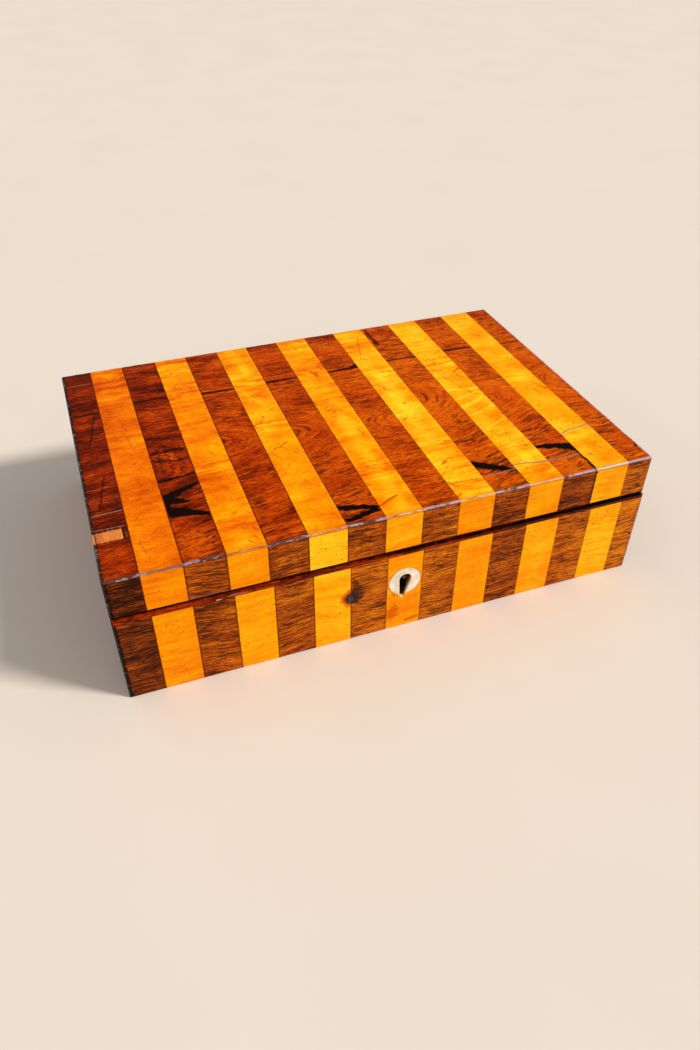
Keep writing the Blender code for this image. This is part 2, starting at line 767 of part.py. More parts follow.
def make_lock(front_board, banding):
    """The box lock: a case with the selvedge let into the rim, the bolt inside it and the key's pin."""
    lock_x = (key_x - lock_width / 2, key_x + lock_width / 2)
    lock_y = (lock_front, base_inner_front)
    case = piece("lock_case", slab(lock_x, lock_y, level(lock_bottom), base_rim), "steel")
    ears = (lock_x[0] - selvedge_ear, lock_x[1] + selvedge_ear)

    def selvedge_under(y):
        return base_rim(y) - selvedge_thickness

    def above_rim(y):
        return base_rim(y) + overrun

    fuse(case, tool("selvedge", slab(ears, lock_y, selvedge_under, base_rim)))
    hollow_x = (lock_x[0] + lock_wall, lock_x[1] - lock_wall)
    hollow_y = (lock_front + lock_wall, base_inner_front - lock_wall)
    cut(case, tool("lock_space", slab(hollow_x, hollow_y, level(lock_bottom + lock_wall), selvedge_under)))
    slots = bmesh.new()
    slot_y = (lock_y_centre - loop_width / 2 - slot_side_clearance / 2,
              lock_y_centre + loop_width / 2 + slot_back_clearance)
    slot_outline = sloped_outline(slot_y, lambda y: selvedge_under(y) - overrun, above_rim)
    for loop_x in loop_places:
        half_slot = loop_thickness / 2 + slot_side_clearance
        add_prism(slots, slot_outline, "x", loop_x - half_slot, loop_x + half_slot)
    cut(case, tool("loop_slots", slots))
    keyhole = tool("keyhole", prism(keyhole_outline(), "y", base_front - overrun, lock_y_centre))
    cut(case, keyhole)
    pin = rod("y", hollow_y[1] - key_pin_length, base_inner_front - lock_wall / 2, key_pin_radius,
              (key_x, 0, key_z))
    fuse(case, tool("key_pin", pin))
    rest_top = bolt_bar_low - glue_line
    rest_x = (key_x - loop_spacing / 2, key_x + loop_spacing / 2)
    rest_y = (hollow_y[0] - lock_wall / 2, hollow_y[1] + lock_wall / 2)
    fuse(case, tool("bolt_rest", box(rest_x, rest_y, (rest_top - bolt_rest_height, rest_top))))

    mortise_x = (lock_x[0] - glue_line, lock_x[1] + glue_line)
    mortise_y = (lock_front - glue_line, base_inner_front + overrun)
    mortise = tool("lock_mortise", slab(mortise_x, mortise_y, level(lock_bottom - glue_line), above_rim))
    recess_x = (ears[0] - glue_line, ears[1] + glue_line)
    recess = slab(recess_x, mortise_y, lambda y: selvedge_under(y) - glue_line, above_rim)
    recess = tool("selvedge_recess", recess)
    cut(front_board, mortise, recess, keyhole)
    cut(banding, mortise, recess)
    return keyhole


def make_bolt():
    """The bolt: a bar with one upright and one finger for each loop. It slides to the right to lock."""
    y = (lock_y_centre - bolt_thickness / 2, lock_y_centre + bolt_thickness / 2)
    finger_centre = lock_rim - loop_hole_drop
    finger_top = finger_centre + bolt_finger_height / 2
    finger_low = finger_centre - bolt_finger_height / 2
    tips = [loop_x - loop_thickness / 2 - bolt_finger_setback for loop_x in loop_places]
    posts = [tip - bolt_finger_length for tip in tips]
    bar_top = bolt_bar_low + bolt_bar_height
    outline = [(posts[0] - bolt_post_width, bolt_bar_low), (tips[1], bolt_bar_low), (tips[1], bar_top)]
    for post, tip in reversed(list(zip(posts, tips))):
        outline += [(post, bar_top), (post, finger_low), (tip, finger_low), (tip, finger_top)]
        outline += [(post - bolt_post_width, finger_top), (post - bolt_post_width, bar_top)]
    outline.pop()
    slide = axis_empty("bolt_axis", (key_x, lock_y_centre, bolt_bar_low))
    piece("lock_bolt", prism(outline, "y", *y), "steel", slide)


def make_link_plate(front_board, banding):
    """The link plate in the rim of the lid, with the two loops that enter the lock."""
    plate_x = (key_x - link_length / 2, key_x + link_length / 2)
    plate_y = (lock_y_centre - link_width / 2, lock_y_centre + link_width / 2)

    def plate_top(y):
        return lid_rim(y) + link_thickness

    plate = piece("link_plate", slab(plate_x, plate_y, lid_rim, plate_top), "brass", lid_axis)
    loops = bmesh.new()
    loop_y = (lock_y_centre - loop_width / 2, lock_y_centre + loop_width / 2)
    for loop_x in loop_places:
        outline = sloped_outline(loop_y, level(lock_rim - loop_drop), lambda y: lid_rim(y) + link_thickness / 2)
        add_prism(loops, outline, "x", loop_x - loop_thickness / 2, loop_x + loop_thickness / 2)
    fuse(plate, tool("loops", loops))
    hole_centre = lock_rim - loop_hole_drop
    hole_y = (lock_y_centre - loop_hole_width / 2, lock_y_centre + loop_hole_width / 2)
    hole_z = (hole_centre - loop_hole_height / 2, hole_centre + loop_hole_height / 2)
    cut(plate, tool("loop_holes", box(plate_x, hole_y, hole_z)))
    recess_x = (plate_x[0] - glue_line, plate_x[1] + glue_line)
    recess_y = (plate_y[0] - glue_line, plate_y[1] + glue_line)
    recess = tool("link_recess", slab(recess_x, recess_y, lambda y: lid_rim(y) - overrun,
                                      lambda y: plate_top(y) + glue_line))
    cut(front_board, recess)
    cut(banding, recess)


def make_escutcheon(veneer, keyhole):
    """The bone disc inlaid round the keyhole. The slot of the keyhole runs out through its lower edge."""
    disc_y = (base_board_front - glue_line - escutcheon_thickness, base_board_front - glue_line)
    centre = (key_x, 0, key_z - keyhole_rise)
    disc = piece("escutcheon", rod("y", *disc_y, escutcheon_radius, centre, circle_steps), "bone")
    cut(disc, keyhole)
    seat = rod("y", base_front - overrun, base_board_front, escutcheon_radius + inlay_gap, centre, circle_steps)
    cut(veneer, tool("escutcheon_seat", seat), keyhole)


# Places inside the base that several pieces share
partition_front = base_inner_front + pen_section_width
divider_inner_x = inner_x - ink_cell_width - divider_thickness
divider_top = base_rim(partition_front) - glue_line
tray_bottom = divider_top - tray_height
lock_front = base_inner_front - lock_depth
lock_y_centre = base_inner_front - lock_depth / 2
lock_rim = base_rim(lock_y_centre)
lock_bottom = lock_rim - lock_height
loop_places = (key_x - loop_spacing / 2, key_x + loop_spacing / 2)
bolt_bar_low = lock_rim - bolt_bar_drop - bolt_bar_height
key_z = bolt_bar_low - key_under_bolt


def divider_rim(y):
    return base_rim(y) - glue_line


def flap_seat(y):
    """Top of the ledge that the base flap rests on."""
    return parting(y) - (parting_gap / 2 + flap_sink + flap_thickness) / math.cos(rim_angle) - glue_line


def bearer_seat(y):
    """Face of the bearer, glued under the lid's board, that the lid flap rests on when the lid is open."""
    return parting(y) + (parting_gap / 2 + flap_sink + flap_thickness) / math.cos(rim_angle) + glue_line


# The base
bottom = box((-board_x, board_x), (base_board_front, board_back), (0, bottom_thickness))
piece("bottom_board", bottom, "pine")
base_walls = make_walls("base", None, base_board_front, base_inner_front, level(over_bottom), under_banding,
                        (base_front_tail_count, base_back_tail_count), "mahogany")
base_front_veneer = make_front_veneer("base", None, base_front, level(0), under_banding, base_strip_shift)
base_back_veneer = make_side_veneers("base", None, base_front, level(0), under_banding)
base_banding = make_banding("base", None, base_front, base_inner_front,
                            lambda y: base_rim(y) - base_banding_thickness, base_rim)
for base_piece in (base_walls["back"], base_back_veneer, base_banding):
    cut(base_piece, *base_hinge_recesses)
make_partitions()
make_pen_tray()
make_inkwell()

# The lid
lid_board = box((-board_x, board_x), (lid_board_front, board_back), (lid_board_under, under_strips))
piece("lid_top_board", lid_board, "pine", lid_axis)
lid_walls = make_walls("lid", lid_axis, lid_board_front, lid_inner_front, over_banding, level(lid_wall_top),
                       (lid_front_tail_count, lid_back_tail_count), "mahogany")
make_front_veneer("lid", lid_axis, lid_front, over_banding, level(under_strips), 0.0)
lid_back_veneer = make_side_veneers("lid", lid_axis, lid_front, over_banding, level(under_strips))
lid_banding = make_banding("lid", lid_axis, lid_front, lid_inner_front, lid_rim,
                           lambda y: lid_rim(y) + lid_banding_thickness)
for lid_piece in (lid_walls["back"], lid_back_veneer, lid_banding):
    cut(lid_piece, *lid_hinge_recesses)
make_top_strips()

# What joins and closes the two halves
for hinge_name, hinge_x in hinge_places.items():
    make_hinge(hinge_name, hinge_x)
keyhole_tool = make_lock(base_walls["front"], base_banding)
make_bolt()
make_link_plate(lid_walls["front"], lid_banding)
make_escutcheon(base_front_veneer, keyhole_tool)

# The writing flaps, the pins that they turn on and the bearer for the lid flap
base_flap_end = partition_front + partition_thickness + flap_clearance
lid_flap_end = lid_inner_front + flap_clearance
base_flap = make_flap("base", base_flap_axis, base_flap_place, base_flap_end, 1)
lid_flap = make_flap("lid", lid_flap_axis, lid_flap_place, lid_flap_end, -1)
make_flap_pins("base", None, base_flap_place, base_flap, base_walls)
make_flap_pins("lid", lid_axis, lid_flap_place, lid_flap, lid_walls)
bearer_y = (lid_inner_front + glue_line, lid_inner_front + glue_line + bearer_width)
bearer = slab((glue_line - inner_x, inner_x - glue_line), bearer_y, bearer_seat, level(lid_wall_top))
piece("lid_flap_bearer", bearer, "mahogany", lid_axis)
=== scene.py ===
# %% [markdown]
# # A striped lap desk
#
# This lesson dresses a small antique lap desk. The desk was first built as plain solids, one for each piece
# of wood, brass, bone or glass, and those solids arrive here as a fixed frame. So nothing is placed by eye:
# every size below is read from the frame. The keyhole faces -Y, Z points up and the unit is the metre.

# %% Load the frame
import json
import math

import bmesh
import bpy
from mathutils import Matrix, Vector, noise


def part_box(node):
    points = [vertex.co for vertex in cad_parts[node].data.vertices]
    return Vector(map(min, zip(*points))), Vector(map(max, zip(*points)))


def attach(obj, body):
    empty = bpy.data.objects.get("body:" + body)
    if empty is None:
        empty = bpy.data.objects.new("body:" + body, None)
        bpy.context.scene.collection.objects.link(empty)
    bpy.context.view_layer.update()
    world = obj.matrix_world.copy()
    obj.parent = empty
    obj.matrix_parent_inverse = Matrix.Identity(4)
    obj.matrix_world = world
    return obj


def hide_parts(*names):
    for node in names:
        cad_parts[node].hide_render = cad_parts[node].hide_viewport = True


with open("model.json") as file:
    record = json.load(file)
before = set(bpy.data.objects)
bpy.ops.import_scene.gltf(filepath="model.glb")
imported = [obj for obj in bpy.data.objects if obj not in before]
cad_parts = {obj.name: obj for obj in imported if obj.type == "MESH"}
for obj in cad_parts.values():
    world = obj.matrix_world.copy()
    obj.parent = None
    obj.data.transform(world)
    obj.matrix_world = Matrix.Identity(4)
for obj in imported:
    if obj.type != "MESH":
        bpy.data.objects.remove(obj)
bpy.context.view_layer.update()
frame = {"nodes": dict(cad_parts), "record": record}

MM = 0.001

# %% [markdown]
# ## The camera
#
# A picture of a box with straight edges gives its camera away: six corners are enough to work out where the
# lens stood. The camera looks down on the lid from the front left, with a slightly wide lens. The long side
# of the upright picture is 1050 pixels, and Blender measures the sensor along that side.

# %% Camera
sensor_in_mm = 36.0
picture_height = 1050
focal_pixels = 813.63
camera_azimuth = math.radians(20.415)
camera_elevation = math.radians(39.518)
camera_roll = math.radians(0.4107)
camera_place = Vector((-0.13723, -0.39121, 0.33696))

camera_data = bpy.data.cameras.new("camera")
camera_data.sensor_width = sensor_in_mm
camera_data.lens = focal_pixels / picture_height * sensor_in_mm
camera_data.clip_start = 10 * MM
camera = bpy.data.objects.new("camera", camera_data)
bpy.context.scene.collection.objects.link(camera)
forward = Vector((math.sin(camera_azimuth) * math.cos(camera_elevation),
                  math.cos(camera_azimuth) * math.cos(camera_elevation), -math.sin(camera_elevation)))
level_right = Vector((math.cos(camera_azimuth), -math.sin(camera_azimuth), 0))
level_up = level_right.cross(forward)
right = level_right * math.cos(camera_roll) + level_up * math.sin(camera_roll)
up = level_up * math.cos(camera_roll) - level_right * math.sin(camera_roll)
camera.matrix_world = Matrix.Translation(camera_place) @ Matrix((right, up, -forward)).transposed().to_4x4()
bpy.context.scene.camera = camera
print("lens in mm:", round(camera_data.lens, 2))

# %% [markdown]
# ## Helpers for node trees
#
# A node tree written by hand needs a line for each node, each number and each link. Two small classes do the
# three at once. A Term is the output of a node, and arithmetic with it adds Math nodes, so that a formula
# reads here as it does on paper. A Graph adds any other node, and an input may be a number, a colour or a
# Term. Colours are written as the eye reads them, from 0 to 255, and turned into Blender's linear values.

# %% Colours and terms
def srgb(red, green, blue):
    """A colour written as a painter's 0 to 255 values, as Blender's linear ones."""
    linear = []
    for value in (red, green, blue):
        share = value / 255
        linear.append(share / 12.92 if share <= 0.04045 else ((share + 0.055) / 1.055) ** 2.4)
    return (*linear, 1.0)


class Term:
    """A node's output, to calculate with."""

    def __init__(self, graph, socket):
        self.graph = graph
        self.socket = socket

    def __add__(self, other):
        return self.graph.math("ADD", self, other)

    def __sub__(self, other):
        return self.graph.math("SUBTRACT", self, other)

    def __rsub__(self, other):
        return self.graph.math("SUBTRACT", other, self)

    def __mul__(self, other):
        return self.graph.math("MULTIPLY", self, other)

    def __truediv__(self, other):
        return self.graph.math("DIVIDE", self, other)

    __radd__ = __add__
    __rmul__ = __mul__

    def step(self, low, high):
        """0 at low, 1 at high and a smooth ramp between. Low may be the larger one."""
        inputs = {"Value": self, "From Min": low, "From Max": high}
        return self.graph.out("ShaderNodeMapRange", inputs, interpolation_type="SMOOTHSTEP")

    def scaled(self, low, high):
        """A 0 to 1 value stretched to run from low to high."""
        return self.graph.out("ShaderNodeMapRange", {"Value": self, "To Min": low, "To Max": high})


print("satinwood gold in linear values:", [round(value, 3) for value in srgb(252, 150, 6)[:3]])


# %% Graphs
class Graph:
    """Adds nodes to one tree. Names of inputs that are given as arguments have _ for each space."""

    def __init__(self, tree):
        self.tree = tree

    def fill(self, socket, value):
        if isinstance(value, Term):
            self.tree.links.new(value.socket, socket)
        else:
            socket.default_value = value

    def add(self, kind, inputs=(), **settings):
        node = self.tree.nodes.new(kind)
        for name, value in settings.items():
            setattr(node, name, value)
        for key, value in dict(inputs).items():
            self.fill(node.inputs[key], value)
        return node

    def out(self, kind, inputs=(), output=0, **settings):
        """One output of a new node, the first if none is named."""
        return Term(self, self.add(kind, inputs, **settings).outputs[output])

    def gather(self, kind, key, parts, **settings):
        """A node whose input takes many links, such as Join Geometry."""
        node = self.add(kind, **settings)
        for part in parts:
            self.fill(node.inputs[key], part)
        return Term(self, node.outputs[0])

    def math(self, operation, *values, clamp=False):
        return self.out("ShaderNodeMath", enumerate(values), operation=operation, use_clamp=clamp)

    def vector(self, operation, *values):
        output = "Value" if operation in ("LENGTH", "DISTANCE", "DOT_PRODUCT") else "Vector"
        return self.out("ShaderNodeVectorMath", enumerate(values), output, operation=operation)

    def stretch(self, vector, factor):
        return self.out("ShaderNodeVectorMath", {0: vector, "Scale": factor}, operation="SCALE")

    def split(self, vector):
        return [Term(self, socket) for socket in self.add("ShaderNodeSeparateXYZ", {0: vector}).outputs]

    def join(self, x, y, z=0.0):
        return self.out("ShaderNodeCombineXYZ", {0: x, 1: y, 2: z})

    def noise(self, vector, scale=1.0, detail=2.0, roughness=0.5, output="Fac"):
        inputs = {"Vector": vector, "Scale": scale, "Detail": detail, "Roughness": roughness}
        return self.out("ShaderNodeTexNoise", inputs, output)

    def mix(self, factor, first, second):
        return self.out("ShaderNodeMix", {0: factor, 6: first, 7: second}, 2, data_type="RGBA")

    def ramp(self, value, stops, interpolation="LINEAR"):
        node = self.add("ShaderNodeValToRGB", {0: value})
        node.color_ramp.interpolation = interpolation
        elements = node.color_ramp.elements
        while len(elements) < len(stops):
            elements.new(0.5)
        for element, (place, colour) in zip(elements, stops):
            element.position = place
            element.color = colour
        return Term(self, node.outputs["Color"])

    def bump(self, strength, distance, height):
        return self.out("ShaderNodeBump", {"Strength": strength, "Distance": distance, "Height": height})

    def use(self, group, **inputs):
        """The outputs of one copy of a node group."""
        named = {name.replace("_", " "): value for name, value in inputs.items()}
        node = self.add("ShaderNodeGroup", named, node_tree=bpy.data.node_groups[group])
        return {socket.name: Term(self, socket) for socket in node.outputs}

    def give(self, **outputs):
        """What a group puts out."""
        for name, value in outputs.items():
            self.fill(self.results[name], value)

    def shade(self, **inputs):
        """The inputs of a material's shader. A plain value stays on the shader's own socket."""
        shader = self.tree.nodes["Principled BSDF"]
        for name, value in inputs.items():
            self.fill(shader.inputs[name.replace("_", " ")], value)


print("helpers of a graph:", ", ".join(name for name in vars(Graph) if not name.startswith("_")))

# %% Groups and materials
socket_kinds = {int: "NodeSocketInt", float: "NodeSocketFloat", tuple: "NodeSocketVector",
                type(None): "NodeSocketMaterial"}


def new_group(name, inputs, outputs, tree_kind="ShaderNodeTree", output_kind="NodeSocketFloat"):
    """A node group with named inputs and outputs. Returns its graph and its inputs as terms."""
    tree = bpy.data.node_groups.new(name, tree_kind)
    for socket in outputs:
        tree.interface.new_socket(socket, in_out="OUTPUT", socket_type=output_kind)
    for socket, value in inputs.items():
        added = tree.interface.new_socket(socket, in_out="INPUT", socket_type=socket_kinds[type(value)])
        if value is not None:
            added.default_value = value
    graph = Graph(tree)
    graph.results = graph.add("NodeGroupOutput").inputs
    sockets = graph.add("NodeGroupInput").outputs
    return graph, {socket.name: Term(graph, socket) for socket in sockets if socket.name}


def new_material(name):
    """A material with its graph and the place on the piece, from the Object coordinates."""
    material = bpy.data.materials.new(name)
    material.use_nodes = True
    graph = Graph(material.node_tree)
    return material, graph, graph.out("ShaderNodeTexCoord", output="Object")


print("kinds of input:", ", ".join(socket_kinds.values()))

# %% [markdown]
# ## Light and floor
#
# A studio picture of dark polished wood needs a large soft lamp for the shape and a dim sky for the shade.
# The lamp stands far off to the front right, so that it lights the floor evenly, and the shadow falls to the
# left of the desk. The sky is darker behind the desk, because the polished top mirrors just that part, and a
# bright one would lay a grey veil over the red and the gold. Together they light the top at a plain level,
# at which a colour comes out about as it is written.

# %% World and lamps
sky_behind = (0.20, 0.19, 0.18, 1)
sky_in_front = (0.50, 0.50, 0.52, 1)
world = bpy.data.worlds.new("studio")
world.use_nodes = True
bpy.context.scene.world = world
sky = Graph(world.node_tree)
sky_depth = sky.split(sky.out("ShaderNodeTexCoord", output="Generated"))[1]
sky_colour = sky.mix(sky_depth.step(0.75, 0.15), sky_behind, sky_in_front)
sky.fill(world.node_tree.nodes["Background"].inputs["Color"], sky_colour)


def add_lamp(name, direction, spread, strength, colour):
    """A far round lamp in that direction, which fills a cone of spread degrees."""
    lamp_data = bpy.data.lights.new(name, "SUN")
    lamp_data.angle = math.radians(spread)
    lamp_data.energy = strength
    lamp_data.color = colour
    lamp = bpy.data.objects.new(name, lamp_data)
    bpy.context.scene.collection.objects.link(lamp)
    lamp.rotation_euler = Vector(direction).to_track_quat("Z", "Y").to_euler()


add_lamp("key_lamp", (0.62, -0.38, 0.69), spread=11, strength=2.9, colour=(1.0, 0.97, 0.93))
add_lamp("fill_lamp", (-0.45, 0.55, 0.70), spread=60, strength=0.35, colour=(0.92, 0.96, 1.0))
print("lamps made")

# %% Floor
floor_half = 12.0
floor_level = -0.3 * MM
floor_mesh = bpy.data.meshes.new("floor")
floor_signs = ((-1, -1), (1, -1), (1, 1), (-1, 1))
floor_corners = [(x * floor_half, y * floor_half, floor_level) for x, y in floor_signs]
floor_mesh.from_pydata(floor_corners, [], [(0, 1, 2, 3)])
floor = bpy.data.objects.new("floor", floor_mesh)
bpy.context.scene.collection.objects.link(floor)
floor_material, graph, place = new_material("pale_floor")
floor_colour = graph.mix(graph.noise(place, 9.0, 3.0), srgb(222, 209, 193), srgb(228, 216, 201))
graph.shade(Base_Color=floor_colour, Roughness=0.85, Specular_IOR_Level=0.2)
floor_mesh.materials.append(floor_material)
bpy.context.scene.view_settings.view_transform = "Standard"
print("floor made, metres on a side:", 2 * floor_half)

# %% [markdown]
# ## How far a point lies from the nearest arris
#
# Wear starts at the arrises, the edges where two faces meet, and so does the painted highlight along them.
# For a box this distance needs no mesh: of the three distances to the box's sides, the smallest is zero on
# any face, so the middle one tells how far the nearest arris is. A node group makes it available to every
# material.

# %% Group: edge distance
corner_inputs = {"Place": (0, 0, 0), "Low": (0, 0, 0), "High": (0, 0, 0)}
graph, given = new_group("edge distance", corner_inputs, ["Distance"])
from_low = graph.vector("SUBTRACT", given["Place"], given["Low"])
from_high = graph.vector("SUBTRACT", given["High"], given["Place"])
x, y, z = graph.split(graph.vector("MINIMUM", from_low, from_high))
larger = graph.math("MAXIMUM", x, y)
smaller = graph.math("MINIMUM", x, y)
graph.give(Distance=graph.math("MAXIMUM", smaller, graph.math("MINIMUM", larger, z)))
print("edge distance group made")

# %% [markdown]
# ## Wood
#
# Sawn wood shows the tree's yearly rings as lines. Where the saw grazes a ring, the lines close to a long
# oval, the eye of the figure. One formula gives both: the distance from the eye, with the length squeezed
# along the grain. The group turns that distance into soft rings, broad bands and thin crisp lines with
# stretched noise. It adds fibres, pores, which are short dark dashes along the grain, specks, a slow drift of
# tone and ripples, the bright waves that cross silky woods. The grain runs along the X of the place that
# comes in. On a sheet of veneer the third value is zero, and in a solid board all three count.

# %% Group: wood lines
graph, given = new_group(
    "wood lines",
    {"Place": (0, 0, 0), "Eye": (0, 0, 0), "Squeeze": 5.0, "Stretch": 16.0, "Spacing": 1.2 * MM,
     "Warp": 2.0 * MM, "Lean": 0.0, "Tilt": 0.0, "Seed": 0.0},
    ["Fine", "Bands", "Lines", "Fibre", "Pores", "Specks", "Cloud", "Ripple"],
)
seed = given["Seed"]
x, y, z = graph.split(given["Place"])
eye_x, eye_y, eye_z = graph.split(given["Eye"])
seeded = graph.join(x, y, z + seed)

# The grain sways, shivers a little and leans near the front.
sway = (graph.noise(seeded, 26.0) - 0.5) * 4.0 + (graph.noise(seeded, 150.0) - 0.5) * 0.7
leaning = y.step(10.0 * MM, -40.0 * MM) * given["Lean"] + given["Tilt"]
across = y + sway * given["Warp"] - (x - eye_x) * leaning

# Rings round the eye. Noise stretched along them makes the soft rings and the bands.
from_eye_y = across - eye_y
from_eye = graph.join((x - eye_x) / given["Squeeze"], from_eye_y, z - eye_z + 2.5 * MM)
ring = graph.vector("LENGTH", from_eye) + from_eye_y * 0.25
ring_count = ring / given["Spacing"]
lines = graph.join(x / (given["Spacing"] * given["Stretch"]), ring_count, seed)
graph.give(Fine=graph.noise(lines, 1.0, 4.0, 0.65), Bands=graph.noise(lines, 0.22, 2.0, 0.55))

# Thin lines follow the rings near the eye, and the contours of the noise further off.
contour = graph.math("ABSOLUTE", graph.noise(lines, 0.55, 2.0, 0.6) - 0.5)
near_eye = ring.step(34.0 * MM, 12.0 * MM)
ring_turns = graph.noise(lines, 0.26) * 2.2 + ring_count * 0.45
broken = graph.noise(seeded, 90.0).step(0.38, 0.60)
ring_line = graph.math("PINGPONG", ring_turns, 0.5).step(0.17, 0.04) * (broken * near_eye.scaled(0.25, 1.0))
contour_line = contour.step(0.050, 0.015) * near_eye.scaled(0.90, 0.20)
strong = graph.noise(seeded, 55.0).step(0.32, 0.55)
graph.give(Lines=graph.math("MAXIMUM", contour_line, ring_line) * strong)

# Fibres, pores, specks, clouds and ripples are noises of their own.
dashes = graph.join(x * 420.0, across * 2600.0, z * 2600.0 + seed)
dotted = graph.noise(seeded, 560.0, 1.0).step(0.66, 0.71)
ripple = graph.noise(graph.join(x * 38.0, across * 300.0, seed)) - 0.5
swell = graph.noise(graph.join(x * 9.0, y * 34.0, seed), 1.0, 1.0).step(0.42, 0.62).scaled(0.25, 1.6)
graph.give(Fibre=graph.noise(graph.join(x * 190.0, across * 2100.0, seed), 1.0, 2.0, 0.6),
           Pores=graph.noise(dashes, 1.0, 1.0).step(0.58, 0.67),
           Specks=dotted * graph.noise(seeded, 48.0, 1.0).step(0.44, 0.62),
           Cloud=graph.noise(seeded, 42.0, 3.0, 0.6), Ripple=ripple * swell + 0.5)
print("wood lines group made, nodes:", len(graph.tree.nodes))

# %% [markdown]
# ## Marks of age
#
# Some marks are so plain that they have to lie where they lie on the real desk: the black zigzag of heart
# wood in a rosewood strip, or a crack through the polish. Each is a chain of strokes, and a stroke is the
# space within some width of a line between two points, with a softer or harder edge. Noise frays it, most of
# all along the grain, so no stroke looks ruled. Hairline scratches are many and may lie anywhere: they are
# contour lines of a noise stretched along one direction.

# %% Group: stroke
graph, given = new_group(
    "stroke",
    {"Place": (0, 0, 0), "Start": (0, 0, 0), "End": (0, 0, 0), "Start Width": MM, "End Width": MM,
     "Wobble": MM, "Softness": 0.4 * MM},
    ["Mask"],
)
grained = graph.vector("MULTIPLY", given["Place"], (230.0, 620.0, 0.0))
jitter = graph.vector("SUBTRACT", graph.noise(grained, detail=3.0, output="Color"), (0.5, 0.5, 0.5))
jitter = graph.stretch(graph.vector("MULTIPLY", jitter, (5.0, 1.8, 0.0)), given["Wobble"])
spot = graph.vector("MULTIPLY", graph.vector("ADD", given["Place"], jitter), (1, 1, 0))
from_start = graph.vector("SUBTRACT", spot, given["Start"])
whole = graph.vector("SUBTRACT", given["End"], given["Start"])
part_way = graph.math("DIVIDE", graph.vector("DOT_PRODUCT", from_start, whole),
                      graph.vector("DOT_PRODUCT", whole, whole), clamp=True)
away = graph.vector("LENGTH", graph.vector("SUBTRACT", from_start, graph.stretch(whole, part_way)))
half_width = ((given["End Width"] - given["Start Width"]) * part_way + given["Start Width"]) * 0.5
softness = graph.math("MINIMUM", half_width * 0.8, given["Softness"])
graph.give(Mask=away.step(half_width, half_width - softness))
print("stroke group made")

# %% Group: scratches
scratch_inputs = {"Place": (0, 0, 0), "Angle": 0.0, "Amount": 0.5, "Seed": 0.0}
graph, given = new_group("scratches", scratch_inputs, ["Mask"])
turned = graph.out("ShaderNodeVectorRotate", {"Vector": given["Place"], "Angle": given["Angle"]},
                   rotation_type="Z_AXIS")
x, y, _ = graph.split(turned)
contour = graph.noise(graph.join(x * 22.0, y * 240.0, given["Seed"]), 1.0, 1.0) - 0.5
thin = graph.math("ABSOLUTE", contour).step(0.013, 0.004)
here = graph.noise(graph.join(x, y, given["Seed"] + 5.0), 75.0, 1.0)
graph.give(Mask=thin * here.step(1.0 - given["Amount"], 1.06 - given["Amount"]))
print("scratches group made")
